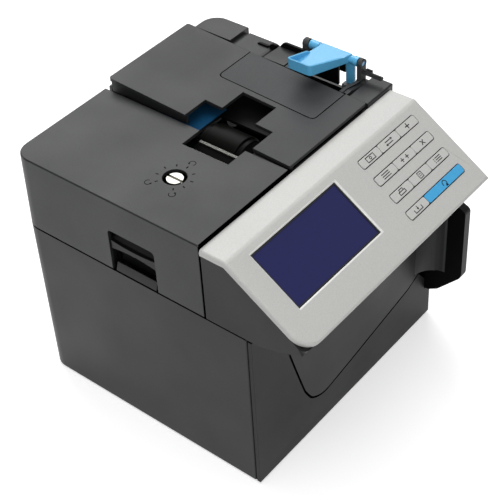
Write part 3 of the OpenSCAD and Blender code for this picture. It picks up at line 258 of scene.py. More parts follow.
# A dark, even, slightly flecked black with a broad soft sheen.
black_abs = moulded_plastic("black_abs", "#161617", "#1b1b1c", 0.45, 0.9, gloss_level=0.3)
dress(black_abs, "base_plate")
# The dead black painted into a shut line, as the shade deep in its gap.
painted_seam_shade = moulded_plastic("painted_seam_shade", "#020202", "#030303", 0.9, 0.9, gloss_level=0.0)


def at(x, y, z):
    """A place in metres, from millimetres off the machine's left front bottom corner."""
    from_left, from_front = 107.5, 80.662
    return Vector(((x - from_left) / 1000, (y - from_front) / 1000, z / 1000))


def copy_of(name, body, slot_name, *materials):
    """A copy of a CAD node to work on, with its facets joined into whole faces."""
    piece = bpy.data.objects.new(name + "_soft", nodes[name].data.copy())
    bpy.context.scene.collection.objects.link(piece)
    bpy.context.view_layer.objects.active = piece
    piece.select_set(True)
    bpy.ops.object.mode_set(mode="EDIT")
    bpy.ops.mesh.select_all(action="SELECT")
    bpy.ops.mesh.remove_doubles(threshold=0.000002)
    bpy.ops.mesh.dissolve_limited(angle_limit=radians(0.5))
    bpy.ops.object.mode_set(mode="OBJECT")
    piece.data.materials.clear()
    for material in materials:
        piece.data.materials.append(material)
    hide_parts(name)
    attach(piece, body)
    return piece


def round_over(piece, radius_mm, steps=3, least_turn=30, picked=None, new_material=-1, clamp=True):
    """Bevels the sharp edges of a piece, or those of them that are picked."""
    bpy.context.view_layer.objects.active = piece
    piece.select_set(True)
    bpy.ops.object.mode_set(mode="EDIT")
    bpy.ops.mesh.select_all(action="DESELECT")
    bpy.ops.mesh.select_mode(type="EDGE")
    shape = bmesh.from_edit_mesh(piece.data)
    for edge in shape.edges:
        if edge.is_manifold and edge.calc_face_angle() > radians(least_turn):
            middle = (edge.verts[0].co + edge.verts[1].co) / 2
            edge.select_set(picked is None or picked(middle, edge))
    bmesh.update_edit_mesh(piece.data)
    bpy.ops.mesh.bevel(
        offset=radius_mm / 1000, segments=steps, clamp_overlap=clamp, material=new_material
    )
    bpy.ops.object.mode_set(mode="OBJECT")
    bpy.ops.object.shade_smooth_by_angle(angle=radians(35))
    level = piece.modifiers.new("level", "WEIGHTED_NORMAL")
    level.keep_sharp = True
    level.weight = 90
    bpy.ops.object.modifier_apply(modifier="level")
    piece.select_set(False)


def groove(piece, width_mm, picked):
    """Opens a shut line: the picked edges are cut back, and the cut gets the piece's second material, the
    painted shade of the seam.
    """
    round_over(piece, width_mm, 1, 60, picked, 1, clamp=False)


def outer_corner(edge, *ways):
    """True where the two faces of an edge look these ways, given as axes such as -x or +z."""
    axes = {
        "-x": (-1, 0, 0), "+x": (1, 0, 0),
        "-y": (0, -1, 0), "+y": (0, 1, 0),
        "-z": (0, 0, -1), "+z": (0, 0, 1),
    }
    normals = [face.normal for face in edge.link_faces]
    return all(any(n.dot(Vector(axes[way])) > 0.9 for n in normals) for way in ways)


shell_rim = at(0, 0, 141.4)


def base_seam(middle, edge):
    """The left and back edges of the shell's rim."""
    at_rim = abs(middle.z - shell_rim.z) < 0.0001
    return at_rim and (outer_corner(edge, "-x", "+z") or outer_corner(edge, "+y", "+z"))


base_shell = copy_of("base_shell", "base", "black_abs", black_abs, painted_seam_shade)
# The shut line round the rim is painted dead black, as the shade in its gap.
groove(base_shell, 0.6, base_seam)
# The groove's ends stay flush with the shell's left side.
for corner in base_shell.data.vertices:
    corner.co.x = max(corner.co.x, cad_box[0].x)

# ---------------------------------------------------------------------------
# Shell screws
# Pan-head machine screws of nickel-plated steel hold the two halves of the
# back together, and are driven flush into their seats.


def plated_metal(name, hex_colour, roughness, grain_mm, edge_mm=0.3):
    """A plated or machined metal with a fine grain."""
    gloss_low, gloss_high = roughness - 0.05, roughness + 0.05
    material = empty_material(name)
    place = add_node(material, "ShaderNodeTexCoord", {}).outputs["Object"]
    grain = add_node(
        material, "ShaderNodeTexNoise", {"Vector": place, "Scale": 1000 / grain_mm, "Detail": 3.0}
    ).outputs["Fac"]
    gloss = add_node(
        material,
        "ShaderNodeMapRange",
        {"Value": grain, "From Min": 0.3, "From Max": 0.7, "To Min": gloss_low, "To Max": gloss_high},
    ).outputs[0]
    soft_edge = add_node(material, "ShaderNodeBevel", {"Radius": edge_mm / 1000}, samples=4).outputs[0]
    bump = add_node(
        material,
        "ShaderNodeBump",
        {"Height": grain, "Strength": 0.2, "Distance": 0.00001, "Normal": soft_edge},
    ).outputs[0]
    shader = add_node(
        material,
        "ShaderNodeBsdfPrincipled",
        {"Base Color": linear(hex_colour), "Roughness": gloss, "Metallic": 1.0, "Normal": bump},
    )
    return surface(material, shader)


# A warm, bright plating that mirrors its surroundings softly.
nickel_steel = plated_metal("nickel_steel", "#dedad2", 0.22, 0.8)
dress(nickel_steel, "shell_screws")

# ---------------------------------------------------------------------------
# Rubber feet
# Four turned-looking feet of black rubber are pushed into the bottom. Their
# rims are rounded by the mould.


def softened(name, body, slot_name, radius_mm, material, steps=3, least_turn=30):
    """A copy of a CAD node whose sharp edges are all rounded over, to stand for the node."""
    piece = copy_of(name, body, slot_name, material)
    round_over(piece, radius_mm, steps, least_turn)
    return piece


# Dull black rubber with almost no gloss.
foot_rubber = moulded_plastic("foot_rubber", "#1d1d1d", "#222222", 0.7, 0.8)
softened("rubber_feet", "base", "foot_rubber", 0.6, foot_rubber)

# ---------------------------------------------------------------------------
# Front cover and stacker wall
# The two outer panels are moulded with the same grain as the shell and snap
# onto it. A thin seam runs round them, with painted shade in its gap.

# The shell's black, painted a little darker as shade on the front pieces, and duller.
front_abs_painted_shade = moulded_plastic("front_abs_painted_shade", "#101011", "#141415", 0.5, 0.9, gloss_level=0.24)
cover_foot = at(0, 0, 20)
cover_side_x = 0.107


def front_cover_seam(middle, edge):
    """The edges along the seams with the upper half, the apron and the shell."""
    if outer_corner(edge, "-x", "+y") or outer_corner(edge, "-x", "+z"):
        return True
    faces_front = any(face.normal.y < -0.99 for face in edge.link_faces)
    return faces_front and middle.z > cover_foot.z and abs(middle.x) < cover_side_x


front_cover = copy_of("front_cover", "base", "black_abs", front_abs_painted_shade, painted_seam_shade)
# The front cover's seam is painted dead black, as the shade in its gap.
groove(front_cover, 0.7, front_cover_seam)

# The inner face of the wall gets hardly any light, and that shade is painted on it as a near-black.
wall_painted_shade = moulded_plastic("wall_painted_shade", "#030304", "#050506", 0.6, 0.9, gloss_level=0.06)
stacker_wall = softened("stacker_wall", "base", "black_abs", 0.4, front_abs_painted_shade)
stacker_wall.data.materials.append(wall_painted_shade)
for face in stacker_wall.data.polygons:
    if face.normal.x < -0.9:
        face.material_index = 1

# ---------------------------------------------------------------------------
# Stacker chute
# The curved apron under the stacker wheels is smooth black plastic, which the
# notes polish as they slide over it.

# Black plastic, painted deeper than the shell for the shade it lies in, with no grey sheen.
inner_plastic = moulded_plastic("inner_plastic", "#08080a", "#0c0c0d", 0.5, 1.2, gloss_level=0.12)
dress(inner_plastic, "stacker_chute")

# ---------------------------------------------------------------------------
# Pod shell
# The upper half of the body carries the sloping pod and is moulded in the same
# black ABS. It is screwed to the base from inside, and shut lines run under it
# and beside the top cover. The end of its chin is well rounded.

# The shell's black, painted a little darker as shade on the pod.
pod_abs_painted_shade = moulded_plastic("pod_abs_painted_shade", "#131314", "#181819", 0.47, 0.9, gloss_level=0.27)
front_face = at(0, 0, 0)
pod_foot_z = 0.1412
pod_inner_x = 0.09
chin_tip_y = -0.1


def pod_seam(middle, edge):
    """The edges along the seams with the base, the front cover and the top cover."""
    if outer_corner(edge, "-x", "-z") or outer_corner(edge, "+x", "-z"):
        return True
    faces_front = any(face.normal.y < -0.99 for face in edge.link_faces)
    in_front = faces_front and abs(middle.y - front_face.y) < 0.0002
    return in_front and middle.z < pod_foot_z and middle.x < pod_inner_x


def pod_back(middle, edge):
    """The upright edge beside the top cover."""
    return outer_corner(edge, "-x", "+y")


def chin_end(middle, edge):
    """The end of the chin below the panel's rounded corner."""
    turned = [face.normal for face in edge.link_faces]
    faces_left = any(n.x < -0.9 for n in turned)
    faces_down = any(n.z < -0.3 and n.y < -0.2 for n in turned)
    return faces_left and faces_down and middle.y < chin_tip_y


pod = copy_of("pod_shell", "base", "black_abs", pod_abs_painted_shade, painted_seam_shade)
# The shut lines under the pod and beside the top cover are painted dead black, as the shade in their gaps.
groove(pod, 0.6, pod_seam)
groove(pod, 1.1, pod_back)
round_over(pod, 6.0, 5, 60, chin_end, clamp=False)

# ---------------------------------------------------------------------------
# Side plates, tie bars and shaft bushes
# Two punched plates of zinc-plated steel carry the shafts in sintered bronze
# bushes, and turned bars tie the plates together.

# Cool grey zinc with a faint spangle.
zinc_steel = plated_metal("zinc_steel", "#bcbec2", 0.35, 3.0)
dress(zinc_steel, "front_side_plate", "rear_side_plate", "tie_bars")
# Dark gold, open-grained bronze.
bronze = plated_metal("bronze", "#a8854f", 0.4, 0.5)
dress(bronze, "shaft_bushes")

# ---------------------------------------------------------------------------
# Shafts and hinge pins
# The shafts and pins are ground steel rod. The shafts turn in the bushes, and
# the pins are pressed into the mouldings that they join.

# A clean, almost white steel, brighter than anything round it.
bright_steel = plated_metal("bright_steel", "#c8c8c8", 0.25, 1.0)
dress(bright_steel, "feed_shaft", "pickup_shaft", "stacker_shaft")
dress(bright_steel, "latch_pin", "cover_hinge_pins", "lid_hinge_pins")

# ---------------------------------------------------------------------------
# Feed drum, pick-up rollers and retard roller
# Rubber tyres are moulded onto hubs and ground true. The drum is nearly black
# and slightly oily, and the others are a dull dark grey.

# Olive black, with a narrow highlight along the drum.
drum_rubber = moulded_plastic("drum_rubber", "#040403", "#060605", 0.4, 0.8, gloss_level=0.05)
softened("feed_drum", "feed_unit", "drum_rubber", 0.8, drum_rubber)
# Matt dark grey.
grip_rubber = moulded_plastic("grip_rubber", "#2a2a2c", "#303033", 0.6, 0.8)
softened("pickup_rollers", "pickup_unit", "grip_rubber", 0.5, grip_rubber)
softened("retard_roller", "retard_carriage", "grip_rubber", 0.4, grip_rubber)

# ---------------------------------------------------------------------------
# Stacker wheels
# Each wheel is one casting of soft black elastomer, with curved blades that
# drag the notes off the rollers.

# Dull dark grey, a shade lighter than the housing.
finger_plastic = moulded_plastic("finger_plastic", "#2b2b2c", "#333334", 0.5, 0.9)
dress(finger_plastic, "stacker_wheels")

# ---------------------------------------------------------------------------
# Motor, pulley and belts
# A can motor of painted steel turns an aluminium pulley, and black toothed
# belts carry the drive to the three shafts.

# Satin grey paint over steel.
motor_steel = plated_metal("motor_steel", "#8c8f92", 0.4, 1.0)
dress(motor_steel, "drive_motor")
# Bright, cool, freshly turned metal.
aluminium = plated_metal("aluminium", "#c6c8ca", 0.3, 1.0)
dress(aluminium, "motor_pulley")
# Matt black.
belt_rubber = moulded_plastic("belt_rubber", "#161616", "#1b1b1b", 0.6, 0.8)
dress(belt_rubber, "drive_belts")

# ---------------------------------------------------------------------------
# Circuit boards
# The boards are glass-fibre sheet under a green solder mask, and stand on
# short posts in the body. The display and the keys have boards of their own.

# Deep green with a wet shine.
circuit_board = moulded_plastic("circuit_board", "#1f5a3a", "#22603e", 0.35, 1.0)
dress(circuit_board, "main_board", "key_board", "sensor_bar", "power_supply")

# ---------------------------------------------------------------------------
# Mains inlet
# A black moulded inlet with three flat pins of nickel-plated brass stands in
# the back wall.

# Plain black with a low sheen.
inlet_plastic = moulded_plastic("inlet_plastic", "#141414", "#191919", 0.4, 0.9)
dress(inlet_plastic, "power_inlet", "switch_case")
inlet_low, inlet_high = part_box("power_inlet")
inlet_middle = (inlet_low + inlet_high) / 2
pin_long, pin_wide, pin_thick, pin_depth = 14.0, 4.0, 2.0, 8.5
for pin_name, pin_x, pin_z in (("left", -7.0, -1.5), ("right", 7.0, -1.5), ("middle", 0.0, 3.5)):
    pin_place = Vector((inlet_middle.x, inlet_high.y, inlet_middle.z))
    pin_place += Vector((pin_x, -pin_depth, pin_z)) / 1000
    bpy.ops.mesh.primitive_cube_add(size=1)
    pin = bpy.context.object
    pin.name = "inlet_pin_" + pin_name
    pin.data.transform(
        Matrix.Translation(pin_place)
        @ Matrix.Diagonal((pin_thick / 1000, pin_long / 1000, pin_wide / 1000, 1))
    )
    bpy.ops.object.mode_set(mode="EDIT")
    bpy.ops.mesh.select_all(action="SELECT")
    bpy.ops.mesh.bevel(offset=0.0004, segments=2)
    bpy.ops.object.mode_set(mode="OBJECT")
    pin.data.materials.append(nickel_steel)
    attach(pin, "base")
    pin.select_set(False)

# ---------------------------------------------------------------------------
# Printed marks
# Every mark on the machine is one thin, flat layer of ink, drawn in
# millimetres and then laid on its piece.


def ink_bar(x, y, wide, high, turn=0):
    """A bar of ink in the mesh that is open for editing."""
    bpy.ops.mesh.primitive_plane_add(size=1, location=(x, y, 0))
    bpy.ops.transform.resize(value=(wide, high, 1), center_override=(x, y, 0))
    if turn:
        bpy.ops.transform.rotate(value=-radians(turn), orient_axis="Z", center_override=(x, y, 0))


def ink_ring(x, y, radius, line, start=0, end=360):
    """A ring of ink, or the part of it from one angle to another."""
    bpy.ops.mesh.primitive_circle_add(vertices=36, radius=radius - line / 2, location=(x, y, 0))
    bpy.ops.mesh.extrude_region()
    growth = (radius + line / 2) / (radius - line / 2)
    bpy.ops.transform.resize(value=(growth, growth, 1), center_override=(x, y, 0))
    if end - start < 360:
        shape = bmesh.from_edit_mesh(bpy.context.object.data)
        for face in shape.faces:
            middle = face.calc_center_median() - Vector((x, y, 0))
            angle = (degrees(atan2(middle.y, middle.x)) - start) % 360
            inside = abs(middle.length - radius) < line and len(face.verts) == 4
            face.select_set(inside and angle > end - start)
        bmesh.update_edit_mesh(bpy.context.object.data)
        bpy.ops.mesh.delete(type="FACE")


def ink_tip(x, y, size, turn=0):
    """An arrow tip of ink that points along +X before it is turned."""
    bpy.ops.mesh.primitive_circle_add(
        vertices=3, radius=size, location=(x, y, 0), rotation=(0, 0, radians(turn - 90)), fill_type="NGON"
    )


def printed(name, body, place, marks, material, thick_mm=0.03):
    """A layer of ink: its marks are drawn flat, given their thickness and laid in place."""
    bpy.ops.mesh.primitive_plane_add(size=1)
    layer = bpy.context.object
    layer.name = name
    bpy.ops.object.mode_set(mode="EDIT")
    bpy.ops.mesh.select_mode(type="VERT")
    bpy.ops.mesh.select_all(action="SELECT")
    bpy.ops.mesh.delete(type="VERT")
    for draw, *numbers in marks:
        bpy.ops.mesh.select_all(action="DESELECT")
        draw(*numbers)
    bpy.ops.object.mode_set(mode="OBJECT")
    layer.modifiers.new("ink", "SOLIDIFY").thickness = thick_mm
    layer.modifiers["ink"].offset = 1
    bpy.ops.object.modifier_apply(modifier="ink")
    layer.data.transform(place @ Matrix.Scale(0.001, 4))
    layer.data.materials.append(material)
    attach(layer, body)
    layer.select_set(False)
    return layer


# Dark grey ink, as flat as the plastic under it.
ink = moulded_plastic("screen_ink", "#1c1c1d", "#212122", 0.6, 0.8, 0.005, 0.0, 0.2)

# ---------------------------------------------------------------------------
# Power switch
# A rocker beside the inlet switches the mains. It is moulded in hard black
# plastic and snaps into its case.

# Glossy black.
switch_plastic = moulded_plastic("switch_plastic", "#151515", "#191919", 0.25, 1.6)
dress(switch_plastic, "power_switch")

# ---------------------------------------------------------------------------
# Top frame, hopper floor, ledges and bridge
# The inner mouldings are black too, and are painted a deeper black for the
# shade they lie in under the cover and in the hopper.

# A dark grey that looks much paler where the lamp's sheen lies on it.
grey_abs = moulded_plastic("grey_abs", "#202122", "#272829", 0.48, 0.9, gloss_level=0.38)
dress(grey_abs, "top_frame")
dress(inner_plastic, "hopper_floor", "adjust_bridge", "retard_bracket")
# The plate at the nip is painted a dead black, as the shade down in the cut-out beside the drum.
nip_painted_shade = moulded_plastic("nip_painted_shade", "#020203", "#040404", 0.7, 0.9, gloss_level=0.03)
dress(nip_painted_shade, "nip_plate")

# ---------------------------------------------------------------------------
# Note guide
# A smooth moulding in the hopper's floor bends the notes towards the drum. It
# is dyed through, and clips in from above.

# Dark blue with a polished face.
navy_plastic = moulded_plastic("navy_plastic", "#174c71", "#1a527a", 0.3, 1.4)
dress(navy_plastic, "note_guide")

# ---------------------------------------------------------------------------
# Guide strips
# Two strips of spring steel are rolled with fine cross ridges and riveted to
# the plate beside the drum.

# A pale steel whose ridges break up its reflections. They are drawn coarser
# than the real ones, to show, and at a scale of 1 they lie pi / 10 apart.
ridge_mm = 1.208
strip_scale = pi / 10 / (ridge_mm / 1000)
strip_steel = empty_material("strip_steel")
strip_place = add_node(strip_steel, "ShaderNodeTexCoord", {}).outputs["Object"]
strip_ridges = add_node(
    strip_steel,
    "ShaderNodeTexWave",
    {"Vector": strip_place, "Scale": strip_scale, "Distortion": 0.3},
    bands_direction="Y",
)
strip_bump = add_node(
    strip_steel,
    "ShaderNodeBump",
    {"Height": strip_ridges.outputs["Fac"], "Strength": 1.0, "Distance": 0.0003},
)
surface(
    strip_steel,
    add_node(
        strip_steel,
        "ShaderNodeBsdfPrincipled",
        {
            "Base Color": linear("#8a8a86"),
            "Metallic": 1.0,
            "Roughness": 0.4,
            "Normal": strip_bump.outputs[0],
        },
    ),
)
dress(strip_steel, "guide_strips")

# ---------------------------------------------------------------------------
# Top cover
# The hinged cover is one moulding of the dark grey ABS. It swings up on two
# pins, and a shut line runs along its lower edge.

cover_foot_z = 0.1417
pod_gap_y = -0.041


def cover_seam(middle, edge):
    """The lower left edge, along the seam with the base."""
    return outer_corner(edge, "-x", "-z") and abs(middle.z - cover_foot_z) < 0.0003


cover = copy_of("top_cover", "top_cover", "grey_abs", grey_abs, painted_seam_shade)
# The shut line along the lower edge is painted dead black, as the shade in its gap.
groove(cover, 0.6, cover_seam)
# The end that faces the pod lies in the dark of the gap, and that shade is painted on it in dead black.
for face in cover.data.polygons:
    if face.center.y < pod_gap_y and face.normal.y < -0.5:
        face.material_index = 1

# ---------------------------------------------------------------------------
# Adjusting dial
# A dial is printed round the screw hole in a grey that hardly stands out from
# the plastic: nine ticks, and three small arrows that turn.

dial_place = at(44, 95.7, 203.6)
tick_out, tick_long, tick_wide = 12.6, 2.2, 0.8
arrow_out, arrow_radius, arrow_line, arrow_tip, arrow_half = 18.0, 2.3, 0.5, 1.0, 130
dial_marks = [
    (ink_bar, tick_out * cos(radians(a)), tick_out * sin(radians(a)), tick_long, tick_wide, a)
    for a in (72, 35, 0, -40, -77, -111, -144, 145, 109)
]
for a in (0, -145, 142):
    arrow_x, arrow_y = arrow_out * cos(radians(a)), arrow_out * sin(radians(a))
    tip_x = arrow_x + arrow_radius * cos(radians(a + arrow_half))
    tip_y = arrow_y + arrow_radius * sin(radians(a + arrow_half))
    dial_marks += [
        (ink_ring, arrow_x, arrow_y, arrow_radius, arrow_line, a - arrow_half, a + arrow_half),
        (ink_tip, tip_x, tip_y, arrow_tip, a + arrow_half + 90),
    ]
# A flat black that only just shows on the dark cover.
dial_ink = moulded_plastic("dial_ink", "#050505", "#080808", 0.9, 0.8, 0.005, 0.0, 0.0)
printed("dial_print", "top_cover", Matrix.Translation(dial_place), dial_marks, dial_ink)

# ---------------------------------------------------------------------------
# Adjusting screw
# A slotted screw of white-bronze plated brass stands in the hole of the cover
# and sets the gap at the retard roller.

# Warm and pale, with a soft shine.
white_brass = plated_metal("white_brass", "#b0aea8", 0.34, 0.8)
softened("adjust_screw", "adjust_screw", "nickel_steel", 0.25, white_brass, 2, 50)

# ---------------------------------------------------------------------------
# Cover latch
# The catch in the left side is moulded in black plastic. It turns on a pin in
# the cover, and its hooks hold under a bar of the base.

# Nearly black, against the grey round it.
latch_plastic = moulded_plastic("latch_plastic", "#0e0e0f", "#131314", 0.45, 0.9, gloss_level=0.2)
dress(latch_plastic, "cover_latch")

# ---------------------------------------------------------------------------
# Hopper lid and flap
# The lid over the banknotes is moulded in the grey of the cover. The flap lies
# flush in its cut-out, turns on the same pins, and has a shut line round it.

# The cover's grey, a little more matt.
lid_abs = moulded_plastic("lid_abs", "#202122", "#272829", 0.5, 0.9, gloss_level=0.38)
dress(lid_abs, "hopper_lid")
# The lid's grey painted paler, as painted light on the flap, and with less sheen than the lid.
flap_abs_painted_light = moulded_plastic("flap_abs_painted_light", "#3c3d3e", "#434445", 0.62, 0.9, gloss_level=0.3)


def flap_rim(middle, edge):
    """The upper rim of the flap."""
    return any(face.normal.z > 0.9 for face in edge.link_faces)


flap = copy_of("hopper_flap", "hopper_flap", "grey_abs", flap_abs_painted_light, painted_seam_shade)
# The flap's shut line is painted dead black, as the shade in its gap.
groove(flap, 0.4, flap_rim)

# ---------------------------------------------------------------------------
# Webs of the flap and lid
# Thin black webs are moulded along the hinge side of the flap and of the lid
# and stiffen them. The upper corner at their far end is rounded.


def far_corner(middle, edge):
    """The upper edge at a web's far end."""
    return (middle.yz - web_high.yz).length < 0.0001


# Each web's name and body, its left front bottom corner, its right back top
# corner, and the radius of its far corner, in millimetres.
for web_name, web_body, web_start, web_end, web_round in (
    ("long", "hopper_flap", (203.0, 78.0, 193.5), (205.2, 130.5, 211.6), 6.0),
    ("hinge", "hopper_flap", (210.4, 77.0, 200.4), (212.6, 106.0, 209.5), 0.8),
    ("short", "hopper_flap", (203.0, 133.8, 193.5), (205.2, 141.0, 206.5), 4.0),
    ("end", "hopper_lid", (203.0, 142.2, 194.0), (205.2, 153.0, 203.0), 3.0),
):
    web_low, web_high = at(*web_start), at(*web_end)
    bpy.ops.mesh.primitive_cube_add(size=1)
    web = bpy.context.object
    web.name = "web_" + web_name
    web.data.transform(
        Matrix.Translation((web_low + web_high) / 2) @ Matrix.Diagonal((*(web_high - web_low), 1))
    )
    round_over(web, web_round, 6, 60, far_corner, clamp=False)
    round_over(web, 0.35, 2, 60)
    # The webs take the inner black, painted deep for the shade they stand in.
    web.data.materials.append(inner_plastic)
    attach(web, web_body)

# ---------------------------------------------------------------------------
# Release lever and its catch
# The lever and its tray are one moulding of polished light-blue plastic, and
# the small pad that its leg rests on is dull grey.

# A clear sky blue with a wet-looking highlight.
lever_plastic = moulded_plastic("lever_plastic", "#5cb3e2", "#61b7e5", 0.22, 2.0, 0.006)
dress(lever_plastic, "release_lever")
# Plain mid grey.
catch_plastic = moulded_plastic("catch_plastic", "#6c6c6a", "#757573", 0.45, 0.9)
dress(catch_plastic, "lever_catch")

# ---------------------------------------------------------------------------
# Control panel
# The light-grey face of the pod is one moulding. Its flat band meets the
# slope in a soft crease, and its rim is rounded where the light catches it.

# Pale warm grey with a fine tooth and an even, low gloss.
panel_abs = moulded_plastic("panel_abs", "#bcbcb9", "#c4c4c1", 0.42, 0.8, 0.02)
panel_slope = 33.2
crease_place = at(0, 17.5, 200.5)
panel_place = Matrix.Translation(crease_place) @ Matrix.Rotation(radians(panel_slope), 4, "X")
panel_up = Vector((0, -sin(radians(panel_slope)), cos(radians(panel_slope))))
panel_back_y = -0.0425
# Areas of the slope, as left, right, low and high lines in metres from the
# left end of the crease.
panel_end_x = 0.209
windows_area = (0.014, 0.2, -0.068, -0.003)
keys_area = (0.12, 0.2, -0.066, -0.003)
lcd_area = (0.014, 0.113, -0.058, -0.003)


def within(place, area):
    """True for a place over an area of the slope."""
    left, right, low, high = area
    spot = panel_place.inverted() @ place
    return left < spot.x < right and low < spot.y < high


def along_outline(middle, edge):
    """True for the soft crease, and for the rim away from the windows and keys."""
    along = (edge.verts[1].co - edge.verts[0].co).normalized()
    if abs(along.x) > 0.99 and (middle - crease_place).yz.length < 0.002:
        return True
    level = [abs(face.normal.dot(panel_up)) for face in edge.link_faces]
    if min(level) > 0.1 or max(face.normal.z for face in edge.link_faces) < 0.5:
        return False
    before_end = (panel_place.inverted() @ middle).x < panel_end_x
    return not within(middle, windows_area) and middle.y < panel_back_y and before_end


def right_end(middle, edge):
    """True for the rim at the panel's right end."""
    level = [abs(face.normal.dot(panel_up)) for face in edge.link_faces]
    at_end = (panel_place.inverted() @ middle).x > panel_end_x
    return at_end and min(level) < 0.1 and max(level) > 0.8


def round_keys(middle, edge):
    """True for the upper rims of the key openings."""
    if max(face.normal.dot(panel_up) for face in edge.link_faces) < 0.99:
        return False
    return within(middle, keys_area)


panel = copy_of("control_panel", "base", "panel_abs", panel_abs, painted_seam_shade)
round_over(panel, 2.0, 4, 25, along_outline, clamp=False)
round_over(panel, 0.6, 3, 60, right_end, clamp=False)
# The rims of the key openings get the dead black of the painted seam shade, for the shade in the gaps round
# the keys.
round_over(panel, 0.3, 1, 60, round_keys, 1, clamp=False)

# The bevel round the display is polished, and it is painted whiter than the face as a painted highlight.
rim_painted_highlight = moulded_plastic("rim_painted_highlight", "#e4e4e1", "#e8e8e5", 0.2, 2.0, 0.005, 0.1)
panel.data.materials.append(rim_painted_highlight)
for face in panel.data.polygons:
    tilt = degrees(face.normal.angle(panel_up))
    if within(face.center, lcd_area) and 40 < tilt < 50:
        face.material_index = 2

# ---------------------------------------------------------------------------
# Display
# A blue liquid-crystal cell stands behind clear glass, and a thin black
# gasket seals it to the panel.

# Deep violet blue under a clear shine.
lcd_glass = moulded_plastic("lcd_glass", "#1f2254", "#202356", 0.12, 2.0, 0.0)
dress(lcd_glass, "display_glass")
# The dark tinned frame round the cell.
lcd_metal = moulded_plastic("lcd_metal", "#202038", "#24243c", 0.4, 1.0)
dress(lcd_metal, "display_module")

lcd_left, lcd_top, lcd_wide, lcd_high = 18.85, -6.65, 88.9, 44.9
gasket_line, gasket_thick, gasket_sink = 1.2, 0.4, 2.09
lcd_middle_x, lcd_middle_y = lcd_left + lcd_wide / 2, lcd_top - lcd_high / 2
gasket_side = lcd_high - 2 * gasket_line
gasket_marks = [
    (ink_bar, lcd_middle_x, lcd_top - gasket_line / 2, lcd_wide, gasket_line),
    (ink_bar, lcd_middle_x, lcd_top - lcd_high + gasket_line / 2, lcd_wide, gasket_line),
    (ink_bar, lcd_left + gasket_line / 2, lcd_middle_y, gasket_line, gasket_side),
    (ink_bar, lcd_left + lcd_wide - gasket_line / 2, lcd_middle_y, gasket_line, gasket_side),
]
# Blue-black rubber without shine.
gasket_rubber = moulded_plastic("gasket_rubber", "#15161c", "#191a20", 0.5, 0.8, 0.01, 0.0)
printed(
    "lcd_gasket",
    "base",
    panel_place @ Matrix.Translation((0, 0, -gasket_sink / 1000)),
    gasket_marks,
    gasket_rubber,
    gasket_thick,
)

# ---------------------------------------------------------------------------
# Keys
# Eleven rubber-dome keys with hard caps stand in the panel. Ten are the grey
# of the panel and the double one is blue. Their rims are softly rounded.

# Smooth light grey, a little warmer than the panel, and sky blue.
blue_plastic = moulded_plastic("blue_plastic", "#45a6dc", "#4aabdf", 0.22, 2.0, 0.006)
key_plastic = moulded_plastic("key_plastic", "#c0c0bd", "#c6c6c3", 0.4, 0.8, 0.02)
key_names = ("currency", "mode", "add", "batch", "ten", "clear", "print", "report", "menu", "value", "reset")
for key_name in key_names:
    cap_plastic = blue_plastic if key_name == "reset" else key_plastic
    cap_slot = "blue_plastic" if key_name == "reset" else "key_plastic"
    softened("key_" + key_name, "key_" + key_name, cap_slot, 0.4, cap_plastic, 3, 50)

# ---------------------------------------------------------------------------
# Key signs
# Each cap carries one dark sign for what it does: note and coin, two arrows,
# plus, stack, double plus, cross, printer, page, list, counted value, return.

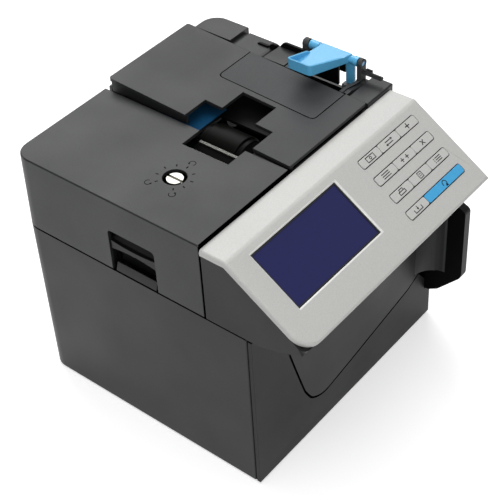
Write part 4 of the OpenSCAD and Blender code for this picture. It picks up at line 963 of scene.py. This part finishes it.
key_signs = {
    "currency": [
        (ink_bar, 0, 1.5, 7.2, 0.5), (ink_bar, 0, -1.5, 7.2, 0.5),
        (ink_bar, -3.35, 0, 0.5, 2.5), (ink_bar, 3.35, 0, 0.5, 2.5),
        (ink_ring, 0, 0, 0.75, 0.45),
    ],
    "mode": [
        (ink_bar, -0.5, 0.9, 5.0, 0.5), (ink_tip, 2.6, 0.9, 1.0, 0),
        (ink_bar, 0.5, -0.9, 5.0, 0.5), (ink_tip, -2.6, -0.9, 1.0, 180),
    ],
    "add": [(ink_bar, 0, 0, 3.6, 0.65), (ink_bar, 0, 1.1, 0.65, 1.5), (ink_bar, 0, -1.1, 0.65, 1.5)],
    "batch": [(ink_bar, 0, 1.3, 6.5, 0.5), (ink_bar, 0, 0, 6.5, 0.5), (ink_bar, 0, -1.3, 6.5, 0.5)],
    "ten": [
        (ink_bar, -2.2, 0, 2.8, 0.55), (ink_bar, -2.2, 0.85, 0.55, 1.1), (ink_bar, -2.2, -0.85, 0.55, 1.1),
        (ink_bar, 2.2, 0, 2.8, 0.55), (ink_bar, 2.2, 0.85, 0.55, 1.1), (ink_bar, 2.2, -0.85, 0.55, 1.1),
    ],
    "clear": [
        (ink_bar, 0, 0, 3.8, 0.6, 45),
        (ink_bar, -0.85, 0.85, 1.6, 0.6, 135), (ink_bar, 0.85, -0.85, 1.6, 0.6, 135),
    ],
    "print": [
        (ink_bar, 0, 0.4, 5.6, 0.5), (ink_bar, 0, -1.3, 5.6, 0.5),
        (ink_bar, -2.55, -0.45, 0.5, 1.2), (ink_bar, 2.55, -0.45, 0.5, 1.2),
        (ink_bar, 0, 1.7, 3.4, 0.45), (ink_bar, -1.5, 1.05, 0.45, 0.8), (ink_bar, 1.5, 1.05, 0.45, 0.8),
    ],
    "report": [
        (ink_bar, 0, 1.75, 3.6, 0.45), (ink_bar, 0, -1.75, 3.6, 0.45),
        (ink_bar, -1.6, 0, 0.45, 3.0), (ink_bar, 1.6, 0, 0.45, 3.0),
        (ink_bar, 0, 0.6, 1.7, 0.4), (ink_bar, 0, -0.5, 1.7, 0.4),
    ],
    "menu": [
        (ink_bar, -3.0, 1.2, 0.6, 0.6), (ink_bar, 0.6, 1.2, 4.8, 0.5),
        (ink_bar, -3.0, 0, 0.6, 0.6), (ink_bar, 0.6, 0, 4.8, 0.5),
        (ink_bar, -3.0, -1.2, 0.6, 0.6), (ink_bar, 0.6, -1.2, 4.8, 0.5),
    ],
    "value": [
        (ink_bar, 0, -1.5, 6.8, 0.5), (ink_bar, -3.15, -0.35, 0.5, 1.8), (ink_bar, 3.15, -0.35, 0.5, 1.8),
        (ink_bar, 0, 1.0, 0.5, 1.5), (ink_tip, 0, -0.1, 0.9, -90),
    ],
    "reset": [
        (ink_ring, 0, 0, 1.7, 0.55, -60, 210), (ink_tip, 0.75, -1.55, 1.3, 205),
    ],
}
# Each key's column and row, and how many columns it takes.
key_cells = {
    "currency": (0, 0, 1), "mode": (1, 0, 1), "add": (2, 0, 1),
    "batch": (0, 1, 1), "ten": (1, 1, 1), "clear": (2, 1, 1),
    "print": (0, 2, 1), "report": (1, 2, 1), "menu": (2, 2, 1),
    "value": (0, 3, 1), "reset": (1, 3, 2),
}
keys_left, keys_top, key_pitch_x, key_pitch_y, key_gap, key_deep = 133, -7, 22, 15.5, 0.35, 6.6
key_stands_out = 0.402
sign_size = Matrix.Diagonal((1.25, 1.25, 1, 1))
for key_name, (column, row, columns_wide) in key_cells.items():
    key_x = keys_left + (column + columns_wide / 2) * key_pitch_x - key_gap / 2
    key_y = keys_top - row * key_pitch_y - key_deep / 2
    sign_place = panel_place @ Matrix.Translation(Vector((key_x, key_y, key_stands_out)) / 1000) @ sign_size
    printed("sign_" + key_name, "key_" + key_name, sign_place, key_signs[key_name], ink)
